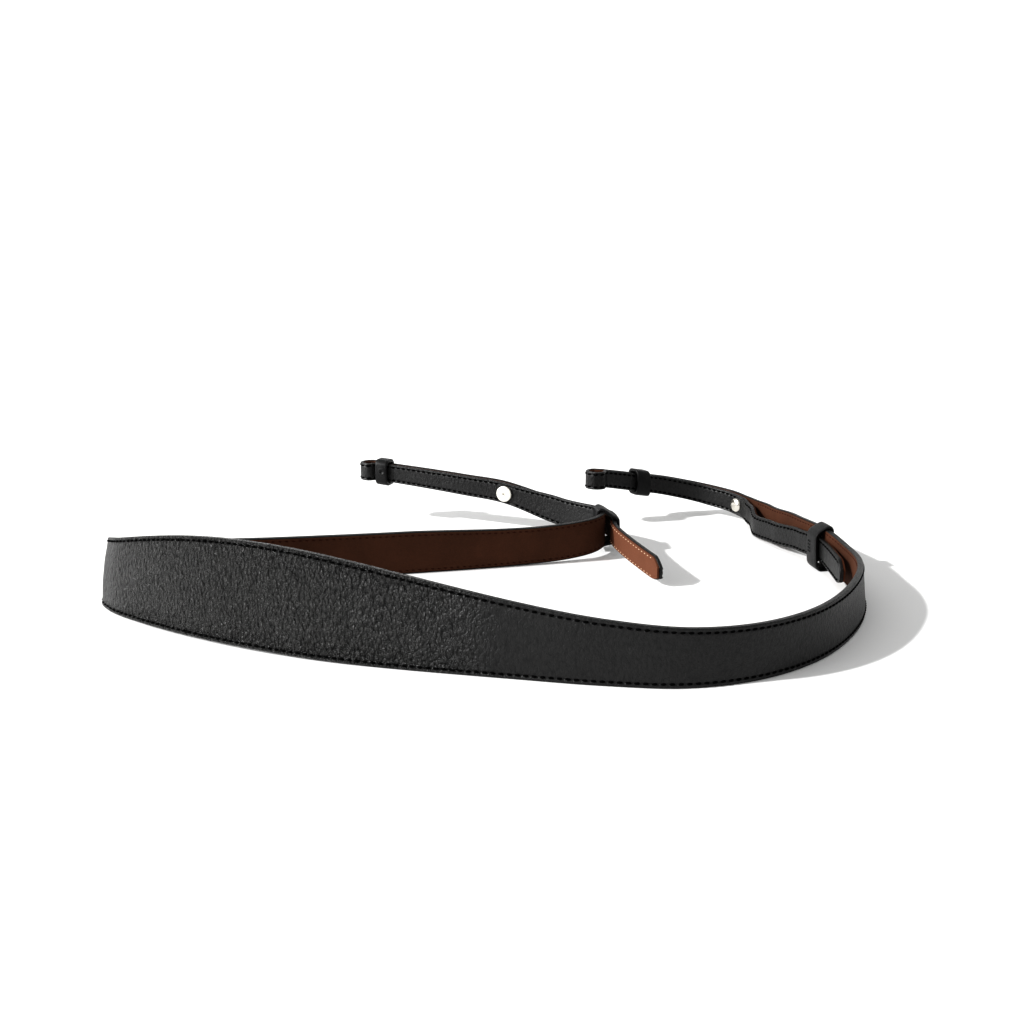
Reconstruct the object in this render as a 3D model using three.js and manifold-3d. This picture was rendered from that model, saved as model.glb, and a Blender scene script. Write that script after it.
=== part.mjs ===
// Leather camera strap with a wide shoulder pad, laid down on its long edge as one open loop.
// Millimetres, +Z up, the lower edge of the strap on z = 0. The lining faces the inside of the loop.
import * as THREE from "three";
import { mergeVertices } from "three/addons/utils/BufferGeometryUtils.js";
import Module from "manifold-3d";

// The laid loop
const LOOP_WIDTH = 325;
const LOOP_DEPTH = 257;
const EYE_LIFT = 22.3;

// Strap widths, and how fast they change along it
const PAD_WIDTH = 41.4;
const ARM_WIDTH = 20;
const END_WIDTH = 11;
const EYE_WIDTH = 9.5;
const PAD_FLARE = 104;
const PAD_FLARE_POWER = 2.1;
const TAPER_LENGTH = 177;

// Layers
const LEATHER = 1.3;
const LINING = 1;
const LAYER_GAP = 0.3;
const LINING_INSET = 0.4;
const PAD_PUFF = 1.2;
const EDGE_ROUND = 0.4;
const SPLICE_GAP = 0.3;

// Eyes, and the tails that run back from them
const EYE_BORE = 6.8;
const EYE_NECK = 4.4;
const TAIL_BULGE = 5.5;
const TAIL_DROP = 3;
const LEFT_TONGUE_LENGTH = 60;
const RIGHT_TONGUE_LENGTH = 34;
const LEFT_TONGUE_TURN = 25;
const RIGHT_TONGUE_TURN = -12;
const LEFT_TONGUE_DROP = 3.4;
const RIGHT_TONGUE_DROP = 1.6;
const TONGUE_TIP_LENGTH = 5;
const TONGUE_TIP_WIDTH = 5.5;

// Keepers
const KEEPER_LENGTH = 10;
const KEEPER_WALL = 1.4;
const KEEPER_ROUND = 2.4;
const LEFT_END_KEEPER_LENGTH = 7;
const RIGHT_END_KEEPER_LENGTH = 8.5;
const END_KEEPER_WALL = 1.8;
const LEFT_END_KEEPER_REACH = 3.6;
const RIGHT_END_KEEPER_REACH = 24;
const KEEPER_CLEARANCE = 0.4;

// Studs
const STUD_CAP_RADIUS = 3.8;
const STUD_CAP_RISE = 1.9;
const STUD_CAP_RIM = 0.3;
const STUD_HEAD_RADIUS = 4.15;
const STUD_HEAD_THICKNESS = 1.2;
const STUD_HEAD_BEVEL = 0.35;
const STUD_RECESS_SPAN = 2.6;
const STUD_RECESS_WIDTH = 0.6;
const STUD_RECESS_DEPTH = 0.6;
const STUD_POST_RADIUS = 2;
const STUD_BORE_RADIUS = 1.2;
const STUD_SHANK_RADIUS = 0.9;
const STUD_CLEARANCE = 0.3;
const STUD_SEAT_LENGTH = 9;

// Fineness of the faceted surfaces
const FINEST_STEP = 0.2;
const LONGEST_STEP = 13;
const SHARPEST_TURN = THREE.MathUtils.degToRad(8);
const ROUND_SIDES = 20;
const CORNER_STEPS = 3;
const PUFF_STATIONS = [0.85, 0.5, 0.15];

// Distance between the seams of leather and lining in the two layers of a doubled end
const TAIL_OFFSET = LAYER_GAP + 2 * (LINING + LAYER_GAP / 2);

// The lower edge of the strap from the left eye to the right one. across and back are shares of
// LOOP_WIDTH and LOOP_DEPTH from the middle of the loop, lift is a share of EYE_LIFT, and lean is
// the angle in degrees by which the top edge stands over towards the inside of the loop.
const ROUTE = [
  { place: "left_eye", across: -0.19, back: 0.436, lift: 1, lean: 0 },
  { place: "", across: -0.112, back: 0.4, lift: 0.9, lean: 0 },
  { place: "", across: -0.043, back: 0.367, lift: 0.8, lean: 0 },
  { place: "left_stud", across: 0.025, back: 0.335, lift: 0.68, lean: 0 },
  { place: "", across: 0.094, back: 0.295, lift: 0.37, lean: 0 },
  { place: "", across: 0.143, back: 0.254, lift: 0.22, lean: 0 },
  { place: "", across: 0.167, back: 0.219, lift: 0.18, lean: 0 },
  { place: "left_keeper", across: 0.172, back: 0.194, lift: 0.165, lean: 0 },
  { place: "", across: 0.172, back: 0.17, lift: 0.15, lean: 0 },
  { place: "", across: 0.153, back: 0.133, lift: 0.115, lean: 0 },
  { place: "", across: 0.109, back: 0.108, lift: 0.045, lean: 1 },
  { place: "", across: 0.029, back: 0.079, lift: 0.01, lean: 2 },
  { place: "", across: -0.106, back: 0.037, lift: 0, lean: 3 },
  { place: "", across: -0.253, back: -0.004, lift: 0, lean: 5 },
  { place: "", across: -0.373, back: -0.048, lift: 0, lean: 7 },
  { place: "", across: -0.456, back: -0.085, lift: 0, lean: 9 },
  { place: "left_bend", across: -0.497, back: -0.13, lift: 0, lean: 9.5 },
  { place: "", across: -0.479, back: -0.175, lift: 0, lean: 8.5 },
  { place: "", across: -0.414, back: -0.246, lift: 0.02, lean: 6 },
  { place: "", across: -0.337, back: -0.309, lift: 0.03, lean: 4 },
  { place: "pad", across: -0.262, back: -0.358, lift: 0.03, lean: 3 },
  { place: "", across: -0.176, back: -0.4, lift: 0.015, lean: 2 },
  { place: "", across: -0.087, back: -0.43, lift: 0, lean: 1 },
  { place: "", across: 0.035, back: -0.464, lift: 0, lean: 0 },
  { place: "", across: 0.133, back: -0.489, lift: 0, lean: 0 },
  { place: "", across: 0.222, back: -0.498, lift: 0, lean: 1 },
  { place: "", across: 0.305, back: -0.467, lift: 0, lean: 2.5 },
  { place: "", across: 0.385, back: -0.392, lift: 0, lean: 4 },
  { place: "", across: 0.454, back: -0.269, lift: 0, lean: 6 },
  { place: "", across: 0.493, back: -0.14, lift: 0, lean: 7 },
  { place: "", across: 0.498, back: -0.035, lift: 0.02, lean: 6 },
  { place: "right_keeper", across: 0.485, back: 0.066, lift: 0.1, lean: 3 },
  { place: "", across: 0.461, back: 0.217, lift: 0.065, lean: 0 },
  { place: "", across: 0.443, back: 0.33, lift: 0.07, lean: 0 },
  { place: "", across: 0.431, back: 0.397, lift: 0.14, lean: 0 },
  { place: "right_stud", across: 0.421, back: 0.42, lift: 0.18, lean: 0 },
  { place: "", across: 0.41, back: 0.443, lift: 0.21, lean: 0 },
  { place: "", across: 0.366, back: 0.487, lift: 0.3, lean: 0 },
  { place: "", across: 0.299, back: 0.486, lift: 0.51, lean: 0 },
  { place: "", across: 0.248, back: 0.459, lift: 0.67, lean: 0 },
  { place: "right_eye", across: 0.186, back: 0.417, lift: 0.88, lean: 0 },
];

// Width past a stud: reach is a share of TAPER_LENGTH, gain a share of the growth to ARM_WIDTH.
const TAPER = [
  { reach: 0, gain: 0 },
  { reach: 0.18, gain: 0.4 },
  { reach: 0.35, gain: 0.64 },
  { reach: 0.6, gain: 0.76 },
  { reach: 1, gain: 1 },
];

// A tail between its stud and its keeper: reach is a share of that stretch, away a share of
// TAIL_BULGE out from the main layer, drop a share of TAIL_DROP below its middle line.
const LEFT_TAIL = [
  { reach: 0, away: 0, drop: 0 },
  { reach: 0.5, away: 0.05, drop: 0.15 },
  { reach: 1, away: 0.4, drop: 0.33 },
];
const RIGHT_TAIL = [
  { reach: 0, away: 0, drop: 0 },
  { reach: 0.14, away: 0.25, drop: 0.25 },
  { reach: 0.34, away: 1, drop: 0.8 },
  { reach: 0.55, away: 0.75, drop: 0.7 },
  { reach: 0.8, away: 0.2, drop: 0.3 },
  { reach: 1, away: 0, drop: 0.1 },
];

// Share of a tongue's turn that each stretch from the keeper outwards takes.
const TONGUE_TURN_SHARES = [0.5, 0.25, 0.1, 0.05, 0.05, 0.05];

const COLOURS = { leather: 0x2a2a2b, lining: 0x5a3226, keeper: 0x1f1f20, steel: 0xd8d4c8 };
const UP = new THREE.Vector3(0, 0, 1);

const wasm = await Module();
wasm.setup();

// Value of one column of a table at a place on another, eased from row to row.
function lookUp(rows, key, place, column) {
  if (place <= rows[0][key]) {
    return rows[0][column];
  }
  for (let i = 1; i < rows.length; i += 1) {
    if (place <= rows[i][key]) {
      const share = (place - rows[i - 1][key]) / (rows[i][key] - rows[i - 1][key]);
      const eased = THREE.MathUtils.smoothstep(share, 0, 1);
      return THREE.MathUtils.lerp(rows[i - 1][column], rows[i][column], eased);
    }
  }
  return rows[rows.length - 1][column];
}

// Share of the pad in the strap at a distance from the pad's middle.
function padShare(distance) {
  return Math.exp(-((Math.abs(distance) / PAD_FLARE) ** PAD_FLARE_POWER));
}

// The main line: its length, its named places and its frame at any distance from the left eye.
function makeRoute() {
  const points = ROUTE.map((row) => new THREE.Vector3(
    row.across * LOOP_WIDTH,
    row.back * LOOP_DEPTH,
    row.lift * EYE_LIFT,
  ));
  const curve = new THREE.CatmullRomCurve3(points, false, "centripetal");
  curve.arcLengthDivisions = 4000;
  const lengths = curve.getLengths();
  const total = curve.getLength();
  const last = ROUTE.length - 1;
  const places = {};
  ROUTE.forEach((row, i) => {
    if (row.place) {
      places[row.place] = lengths[Math.round((i / last) * curve.arcLengthDivisions)];
    }
  });
  const widthAt = (distance) => {
    const fromStud = Math.min(distance - places.left_stud, places.right_stud - distance);
    if (fromStud < 0) {
      const stretch = Math.min(distance, total - distance);
      const full = stretch - fromStud;
      return THREE.MathUtils.lerp(EYE_WIDTH, END_WIDTH, stretch / full);
    }
    const gain = lookUp(TAPER, "reach", fromStud / TAPER_LENGTH, "gain");
    const arm = THREE.MathUtils.lerp(END_WIDTH, ARM_WIDTH, gain);
    return arm + (PAD_WIDTH - ARM_WIDTH) * padShare(distance - places.pad);
  };
  const frameAt = (distance) => {
    const t = curve.getUtoTmapping(distance / total);
    const along = curve.getTangent(t).setZ(0).normalize();
    const row = Math.min(Math.floor(t * last), last - 1);
    const lean = THREE.MathUtils.degToRad(
      THREE.MathUtils.lerp(ROUTE[row].lean, ROUTE[row + 1].lean, t * last - row),
    );
    const inward = new THREE.Vector3().crossVectors(UP, along);
    const up = UP.clone().multiplyScalar(Math.cos(lean)).addScaledVector(inward, Math.sin(lean));
    const brown = inward.clone().multiplyScalar(Math.cos(lean)).addScaledVector(UP, -Math.sin(lean));
    const width = widthAt(distance);
    const edge = curve.getPoint(t);
    const middle = edge.setZ(Math.max(0, edge.z)).addScaledVector(up, width / 2);
    const puff = PAD_PUFF * padShare(distance - places.pad);
    return { middle, along, up, brown, width, puff };
  };
  return { total, places, frameAt };
}

const route = makeRoute();

// Flat stretches of the strap under the studs, where no station comes between the two ends.
const SEATS = [route.places.left_stud, route.places.right_stud].map((stud) => (
  { from: stud - STUD_SEAT_LENGTH / 2, to: stud + STUD_SEAT_LENGTH / 2 }
));

// Distances along the main line, close together only where it turns.
function stationsBetween(from, to) {
  const stations = [from];
  let heading = route.frameAt(from).along;
  let start = from;
  for (let s = from + FINEST_STEP; s < to - FINEST_STEP; s += FINEST_STEP) {
    const seat = SEATS.find((stretch) => s > stretch.from && s < stretch.to);
    const next = route.frameAt(s).along;
    if (seat) {
      stations.push(seat.from, seat.to);
      start = seat.to;
      heading = route.frameAt(seat.to).along;
      s = seat.to;
    } else if (s - start >= LONGEST_STEP || next.angleTo(heading) >= SHARPEST_TURN) {
      stations.push(s);
      start = s;
      heading = next;
    }
  }
  stations.push(to);
  return stations;
}

const ENDS = {
  left: {
    eye: 0,
    sign: 1,
    stud: route.places.left_stud,
    keeper: route.places.left_keeper,
    tail: LEFT_TAIL,
    tongueLength: LEFT_TONGUE_LENGTH,
    tongueTurn: LEFT_TONGUE_TURN,
    tongueDrop: LEFT_TONGUE_DROP,
    endKeeperReach: LEFT_END_KEEPER_REACH,
    endKeeperLength: LEFT_END_KEEPER_LENGTH,
  },
  right: {
    eye: route.total,
    sign: -1,
    stud: route.places.right_stud,
    keeper: route.places.right_keeper,
    tail: RIGHT_TAIL,
    tongueLength: RIGHT_TONGUE_LENGTH,
    tongueTurn: RIGHT_TONGUE_TURN,
    tongueDrop: RIGHT_TONGUE_DROP,
    endKeeperReach: RIGHT_END_KEEPER_REACH,
    endKeeperLength: RIGHT_END_KEEPER_LENGTH,
  },
};

// Frame of the tail that lies against the main layer at a distance along the main line.
function tailFrame(end, distance) {
  const main = route.frameAt(distance);
  const start = end.stud + (end.sign * STUD_SEAT_LENGTH) / 2;
  const reach = Math.max(0, (distance - start) / (end.keeper - start));
  const away = TAIL_OFFSET + TAIL_BULGE * lookUp(end.tail, "reach", reach, "away");
  const drop = TAIL_DROP * lookUp(end.tail, "reach", reach, "drop");
  return {
    middle: main.middle.clone().addScaledVector(main.brown, away).addScaledVector(UP, -drop),
    along: main.along.clone().negate(),
    up: main.up,
    brown: main.brown.clone().negate(),
    width: Math.min(main.width, END_WIDTH),
    puff: 0,
  };
}

// The free tongue past the keeper, from the keeper's mouth to its clipped tip.
function tongueFrames(end) {
  const mouth = tailFrame(end, end.keeper + (end.sign * KEEPER_LENGTH) / 2);
  const before = tailFrame(end, end.keeper + end.sign * (KEEPER_LENGTH / 2 - 1));
  const heading = mouth.middle.clone().sub(before.middle).setZ(0).normalize();
  const steps = TONGUE_TURN_SHARES.length;
  const step = (end.tongueLength - TONGUE_TIP_LENGTH) / steps;
  const turn = THREE.MathUtils.degToRad(end.tongueTurn);
  const frames = [];
  const place = mouth.middle.clone();
  const move = (length) => {
    place.addScaledVector(heading, length).addScaledVector(UP, (-end.tongueDrop * length) / end.tongueLength);
  };
  const add = (width) => {
    const along = heading.clone().multiplyScalar(-end.sign);
    const brown = new THREE.Vector3().crossVectors(UP, along);
    frames.push({ middle: place.clone(), along, up: UP, brown, width, puff: 0 });
  };
  for (let i = 0; i < steps; i += 1) {
    heading.applyAxisAngle(UP, turn * TONGUE_TURN_SHARES[i]);
    move(step);
    add(END_WIDTH);
  }
  const tipSteps = 4;
  for (let i = 1; i <= tipSteps; i += 1) {
    const share = i / tipSteps;
    move(TONGUE_TIP_LENGTH / tipSteps);
    add(THREE.MathUtils.lerp(END_WIDTH, TONGUE_TIP_WIDTH, share * share));
  }
  return frames;
}

// The fold round an eye, a drop-shaped loop that starts on the tail and ends on the main layer.
function eyeFrames(end) {
  const main = route.frameAt(end.eye);
  const outward = main.along.clone().multiplyScalar(-end.sign);
  const centre = main.middle.clone().addScaledVector(main.brown, TAIL_OFFSET / 2);
  const radius = EYE_BORE / 2 + LINING + LAYER_GAP / 2;
  const half = TAIL_OFFSET / 2;
  const side = [[-EYE_NECK, half], [0, half], [EYE_NECK * 0.5, half + (radius - half) * 0.55]];
  const outline = [...side];
  for (let degrees = 100; degrees >= -100; degrees -= 25) {
    const angle = THREE.MathUtils.degToRad(degrees);
    outline.push([EYE_NECK + radius * Math.cos(angle), radius * Math.sin(angle)]);
  }
  side.reverse().forEach(([x, y]) => outline.push([x, -y]));
  const points = outline.map(([x, y]) => (
    centre.clone().addScaledVector(outward, x).addScaledVector(main.brown, y)
  ));
  const curve = new THREE.CatmullRomCurve3(points, false, "centripetal");
  const last = points.length - 1;
  const frames = [];
  for (let i = 2; i <= 2 * (last - 1); i += 1) {
    const t = i / (2 * last);
    const along = curve.getTangent(t).multiplyScalar(end.sign);
    const brown = new THREE.Vector3().crossVectors(main.up, along);
    frames.push({ middle: curve.getPoint(t), along, up: main.up, brown, width: EYE_WIDTH, puff: 0 });
  }
  return frames;
}

// The whole doubled end, from the splice under its keeper round the eye to the tip of its tongue.
function endFrames(end) {
  const reach = stationsBetween(Math.min(end.eye, end.keeper), Math.max(end.eye, end.keeper));
  const outwards = end.sign > 0 ? reach.reverse() : reach;
  const main = outwards.slice(0, -1).map((s) => route.frameAt(s));
  const mouth = end.keeper + (end.sign * KEEPER_LENGTH) / 2;
  const back = [...outwards.slice(0, -1)].reverse();
  const tail = [...back.map((s) => tailFrame(end, s)), tailFrame(end, mouth)];
  const eye = eyeFrames(end).reverse();
  const frames = [...main, ...eye, ...tail, ...tongueFrames(end)];
  return end.sign > 0 ? frames.reverse() : frames;
}

// A closed solid swept through rings of points. Each ring has an outer loop and may have an inner.
function sweep(rings) {
  const positions = [];
  const index = [];
  const count = rings[0].length;
  rings.forEach((ring) => ring.forEach((point) => positions.push(point.x, point.y, point.z)));
  for (let i = 0; i + 1 < rings.length; i += 1) {
    for (let j = 0; j < count; j += 1) {
      const a = i * count + j;
      const b = i * count + ((j + 1) % count);
      index.push(a, b, b + count, a, b + count, a + count);
    }
  }
  const end = (rings.length - 1) * count;
  for (let j = 1; j + 1 < count; j += 1) {
    index.push(0, j + 1, j, end, end + j, end + j + 1);
  }
  return facingOut(positions, index);
}

// A tube with a hole right through it, from matching outer and inner loops.
function sleeve(outer, inner) {
  const positions = [];
  const index = [];
  const count = outer[0].length;
  const rings = [...outer, ...inner.slice().reverse()];
  rings.forEach((ring) => ring.forEach((point) => positions.push(point.x, point.y, point.z)));
  for (let i = 0; i < rings.length; i += 1) {
    const next = ((i + 1) % rings.length) * count;
    for (let j = 0; j < count; j += 1) {
      const k = (j + 1) % count;
      index.push(i * count + j, i * count + k, next + k, i * count + j, next + k, next + j);
    }
  }
  return facingOut(positions, index);
}

// A geometry whose faces point outwards, turned round where its volume comes out negative.
function facingOut(positions, index) {
  const corner = (i) => new THREE.Vector3().fromArray(positions, 3 * i);
  let volume = 0;
  for (let i = 0; i < index.length; i += 3) {
    volume += corner(index[i]).dot(corner(index[i + 1]).cross(corner(index[i + 2])));
  }
  const geometry = new THREE.BufferGeometry();
  geometry.setAttribute("position", new THREE.Float32BufferAttribute(positions, 3));
  geometry.setIndex(volume > 0 ? index : index.slice().reverse());
  geometry.computeVertexNormals();
  return geometry;
}

// A point of a strap section: height from the lower edge, and depth towards the lining.
function sectionPoint(frame, height, depth) {
  return frame.middle.clone()
    .addScaledVector(frame.up, height - frame.width / 2)
    .addScaledVector(frame.brown, depth);
}

function leatherRing(frame) {
  const inner = -LAYER_GAP / 2;
  const outer = inner - LEATHER;
  const ring = [
    sectionPoint(frame, 0, inner),
    sectionPoint(frame, frame.width, inner),
    sectionPoint(frame, frame.width, outer + EDGE_ROUND),
    sectionPoint(frame, frame.width - EDGE_ROUND, outer),
  ];
  PUFF_STATIONS.forEach((share) => {
    const height = EDGE_ROUND + share * (frame.width - 2 * EDGE_ROUND);
    const crown = frame.puff * (1 - (2 * share - 1) ** 2);
    ring.push(sectionPoint(frame, height, outer - crown));
  });
  ring.push(sectionPoint(frame, EDGE_ROUND, outer), sectionPoint(frame, 0, outer + EDGE_ROUND));
  return ring;
}

function liningRing(frame) {
  const inner = LAYER_GAP / 2;
  return [
    sectionPoint(frame, LINING_INSET, inner),
    sectionPoint(frame, frame.width - LINING_INSET, inner),
    sectionPoint(frame, frame.width - LINING_INSET, inner + LINING),
    sectionPoint(frame, LINING_INSET, inner + LINING),
  ];
}

// Rounded loop of a keeper round both layers and the slack between them, grown outwards by a margin.
function keeperRing(frame, slack, margin, round) {
  const height = frame.width / 2 + margin;
  const near = -(LAYER_GAP / 2 + LEATHER) - margin;
  const far = TAIL_OFFSET + slack + LAYER_GAP / 2 + LEATHER + margin;
  const half = (far - near) / 2;
  const centre = (far + near) / 2;
  const ring = [];
  [[1, 1], [-1, 1], [-1, -1], [1, -1]].forEach(([x, y], quarter) => {
    for (let i = 0; i <= CORNER_STEPS; i += 1) {
      const angle = (quarter + i / CORNER_STEPS) * (Math.PI / 2);
      const depth = centre + x * (half - round) + round * Math.cos(angle);
      const rise = y * (height - round) + round * Math.sin(angle);
      ring.push(sectionPoint(frame, frame.width / 2 + rise, depth));
    }
  });
  return ring;
}

function keeper(centre, length, wall, slack) {
  const frames = [-0.5, -0.25, 0, 0.25, 0.5].map((share) => route.frameAt(centre + share * length));
  const outer = frames.map((frame) => keeperRing(frame, slack, KEEPER_CLEARANCE + wall, KEEPER_ROUND));
  const inner = frames.map((frame) =>
    keeperRing(frame, slack, KEEPER_CLEARANCE, KEEPER_ROUND - wall + 0.2),
  );
  return sleeve(outer, inner);
}

// Turns a shape made along +Y so that +Y runs along the stud, out of the tail's leather.
function placeOnStud(geometry, end) {
  const from = route.frameAt(end.stud - STUD_SEAT_LENGTH / 2);
  const to = route.frameAt(end.stud + STUD_SEAT_LENGTH / 2);
  const along = to.middle.clone().sub(from.middle).setZ(0).normalize();
  const brown = new THREE.Vector3().crossVectors(UP, along);
  const basis = new THREE.Matrix4().makeBasis(along, brown, UP);
  basis.setPosition(from.middle.clone().add(to.middle).multiplyScalar(0.5));
  return geometry.applyMatrix4(basis);
}

// A turned shape from the corners of half its section, from axis to axis.
function lathe(corners) {
  const turned = new THREE.LatheGeometry(corners.map(([x, y]) => new THREE.Vector2(x, y)), ROUND_SIDES);
  return facingOut(Array.from(turned.attributes.position.array), Array.from(turned.index.array));
}

const STACK_NEAR = -(LAYER_GAP / 2 + LEATHER);
const STACK_FAR = TAIL_OFFSET + LAYER_GAP / 2 + LEATHER;

// Domed cap on the tail's side with a bored post through both layers.
function studCap(end) {
  const base = STACK_FAR + STUD_CLEARANCE;
  const corners = [
    [0, STACK_FAR],
    [STUD_BORE_RADIUS, STACK_FAR],
    [STUD_BORE_RADIUS, STACK_NEAR],
    [STUD_POST_RADIUS, STACK_NEAR],
    [STUD_POST_RADIUS, base],
    [STUD_CAP_RADIUS, base],
  ];
  const steps = 5;
  for (let i = 0; i < steps; i += 1) {
    const angle = (i / steps) * (Math.PI / 2);
    const rise = STUD_CAP_RIM + (STUD_CAP_RISE - STUD_CAP_RIM) * Math.sin(angle);
    corners.push([STUD_CAP_RADIUS * Math.cos(angle), base + rise]);
  }
  corners.push([0, base + STUD_CAP_RISE]);
  return placeOnStud(lathe(corners), end);
}

// Flat head on the main layer's side, with a cross recess and a shank inside the post.
function studScrew(end) {
  const under = STACK_NEAR - STUD_CLEARANCE;
  const top = under - STUD_HEAD_THICKNESS;
  const shankEnd = STACK_FAR - 2 * STUD_CLEARANCE;
  const head = lathe([
    [0, top],
    [STUD_HEAD_RADIUS - STUD_HEAD_BEVEL, top],
    [STUD_HEAD_RADIUS, top + STUD_HEAD_BEVEL],
    [STUD_HEAD_RADIUS, under],
    [STUD_SHANK_RADIUS, under],
    [STUD_SHANK_RADIUS, shankEnd],
    [0, shankEnd],
  ]);
  const depth = 2 * STUD_RECESS_DEPTH;
  const slot = new THREE.BoxGeometry(STUD_RECESS_SPAN, depth, STUD_RECESS_WIDTH).translate(0, top, 0);
  const cross = slot.clone().rotateY(Math.PI / 2);
  const recessed = toSolid(head).subtract(toSolid(slot).add(toSolid(cross)));
  return placeOnStud(toGeometry(recessed), end);
}

// Cutter for the hole that the post of a stud passes through.
function studHole(end) {
  const length = STACK_FAR - STACK_NEAR + 2 * LEATHER;
  const radius = STUD_POST_RADIUS + STUD_CLEARANCE;
  const drill = new THREE.CylinderGeometry(radius, radius, length, ROUND_SIDES);
  drill.translate(0, (STACK_FAR + STACK_NEAR) / 2, 0);
  return toSolid(placeOnStud(drill, end));
}

function toSolid(geometry) {
  const plain = geometry.clone();
  plain.deleteAttribute("normal");
  plain.deleteAttribute("uv");
  const merged = mergeVertices(plain, 1e-4);
  const triVerts = new Uint32Array(merged.index.array);
  const corners = [];
  for (let i = 0; i < triVerts.length; i += 3) {
    const [a, b, c] = triVerts.slice(i, i + 3);
    if (a !== b && b !== c && c !== a) {
      corners.push(a, b, c);
    }
  }
  const vertProperties = new Float32Array(merged.attributes.position.array);
  const mesh = new wasm.Mesh({ numProp: 3, vertProperties, triVerts: new Uint32Array(corners) });
  return new wasm.Manifold(mesh);
}

function toGeometry(solid) {
  const mesh = solid.getMesh();
  const geometry = new THREE.BufferGeometry();
  geometry.setAttribute("position", new THREE.Float32BufferAttribute(mesh.vertProperties, 3));
  geometry.setIndex(Array.from(mesh.triVerts));
  geometry.computeVertexNormals();
  return geometry;
}

const strap = new THREE.Group();

function addPiece(name, geometry, colour, metalness, roughness) {
  const material = new THREE.MeshStandardMaterial({ color: colour, metalness, roughness });
  const mesh = new THREE.Mesh(geometry, material);
  mesh.name = name;
  strap.add(mesh);
}

const mainStations = stationsBetween(
  ENDS.left.keeper + SPLICE_GAP / 2,
  ENDS.right.keeper - SPLICE_GAP / 2,
);
const mainFrames = mainStations.map((s) => route.frameAt(s));
addPiece("strap_leather", sweep(mainFrames.map(leatherRing)), COLOURS.leather, 0, 0.55);

const doubled = { left: endFrames(ENDS.left), right: endFrames(ENDS.right) };
const holes = { left: studHole(ENDS.left), right: studHole(ENDS.right) };
const wholeLine = [...doubled.left, ...mainFrames.slice(1, -1), ...doubled.right];
const lining = toSolid(sweep(wholeLine.map(liningRing)));
const drilledLining = toGeometry(lining.subtract(holes.left).subtract(holes.right));
addPiece("strap_lining", drilledLining, COLOURS.lining, 0, 0.85);

Object.entries(ENDS).forEach(([side, end]) => {
  const leather = toSolid(sweep(doubled[side].map(leatherRing)));
  const drilled = toGeometry(leather.subtract(holes[side]));
  addPiece(`end_leather_${side}`, drilled, COLOURS.leather, 0, 0.5);
  const slack = TAIL_BULGE * lookUp(end.tail, "reach", 1, "away");
  const band = keeper(end.keeper, KEEPER_LENGTH, KEEPER_WALL, slack);
  addPiece(`keeper_${side}`, band, COLOURS.keeper, 0, 0.5);
  const endKeeperPlace = end.eye + end.sign * end.endKeeperReach;
  const endKeeper = keeper(endKeeperPlace, end.endKeeperLength, END_KEEPER_WALL, 0);
  addPiece(`end_keeper_${side}`, endKeeper, COLOURS.keeper, 0, 0.5);
  addPiece(`stud_cap_${side}`, studCap(end), COLOURS.steel, 1, 0.3);
  addPiece(`stud_screw_${side}`, studScrew(end), COLOURS.steel, 1, 0.3);
});

// The middle of the strap's footprint is the origin, with the lowest edge at z = 0.
const reach = new THREE.Box3().setFromObject(strap, true);
const footprint = reach.getCenter(new THREE.Vector3()).setZ(reach.min.z);
strap.children.forEach((mesh) => mesh.geometry.translate(-footprint.x, -footprint.y, -footprint.z));

export default strap;
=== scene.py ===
"""A leather camera strap standing on its edge in an open loop.

Every sheet, thread and band of the strap is made flat, in millimetres, and then laid along one long line
that runs from the tip of the left tongue, round both eyes, to the tip of the right tongue. A flat place has
three numbers: the distance along that line, the height from the middle of the strap, and the depth towards
the lining.
"""
import logging
import math
from collections.abc import Iterator
from contextlib import contextmanager
from dataclasses import dataclass, field
from enum import Enum

import bpy
import numpy as np
from mathutils import Matrix, Vector


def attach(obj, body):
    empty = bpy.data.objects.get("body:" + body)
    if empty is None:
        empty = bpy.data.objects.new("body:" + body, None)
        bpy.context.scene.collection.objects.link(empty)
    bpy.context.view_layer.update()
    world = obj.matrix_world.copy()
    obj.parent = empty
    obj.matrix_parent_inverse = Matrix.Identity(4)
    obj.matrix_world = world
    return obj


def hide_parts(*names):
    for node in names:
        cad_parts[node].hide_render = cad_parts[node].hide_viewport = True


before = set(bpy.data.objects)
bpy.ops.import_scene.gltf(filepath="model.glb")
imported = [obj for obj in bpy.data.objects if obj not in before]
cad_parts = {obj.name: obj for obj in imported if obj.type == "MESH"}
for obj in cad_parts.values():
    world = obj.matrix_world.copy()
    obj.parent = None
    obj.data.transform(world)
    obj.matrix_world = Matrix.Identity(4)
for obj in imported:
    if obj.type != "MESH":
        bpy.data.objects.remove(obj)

log = logging.getLogger("strap")

MM = 0.001
MERGE_DISTANCE = 2e-6
UP = np.array([0.0, 0.0, 1.0])


class Side(Enum):
    """The two ends of the strap."""

    LEFT = 1
    RIGHT = -1

    @property
    def word(self) -> str:
        """The side's name as the frame's nodes spell it."""
        return self.name.lower()


class Face(Enum):
    """The two faces of the strap that thread shows on."""

    OUTER = -1
    LINING = 1


class Slot(Enum):
    """The finishes that the frame's record names."""

    OUTER_LEATHER = "outer_leather"
    LINING_LEATHER = "lining_leather"
    KEEPER_LEATHER = "keeper_leather"
    STUD_METAL = "stud_metal"


@dataclass(frozen=True)
class RouteRow:
    """A point of the strap's lower edge.

    across and back are shares of the loop's width and depth from its middle, lift is a share of the eyes'
    lift, and lean is the angle in degrees by which the top edge stands over towards the inside.
    """

    across: float
    back: float
    lift: float
    lean: float
    place: str = ""


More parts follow.
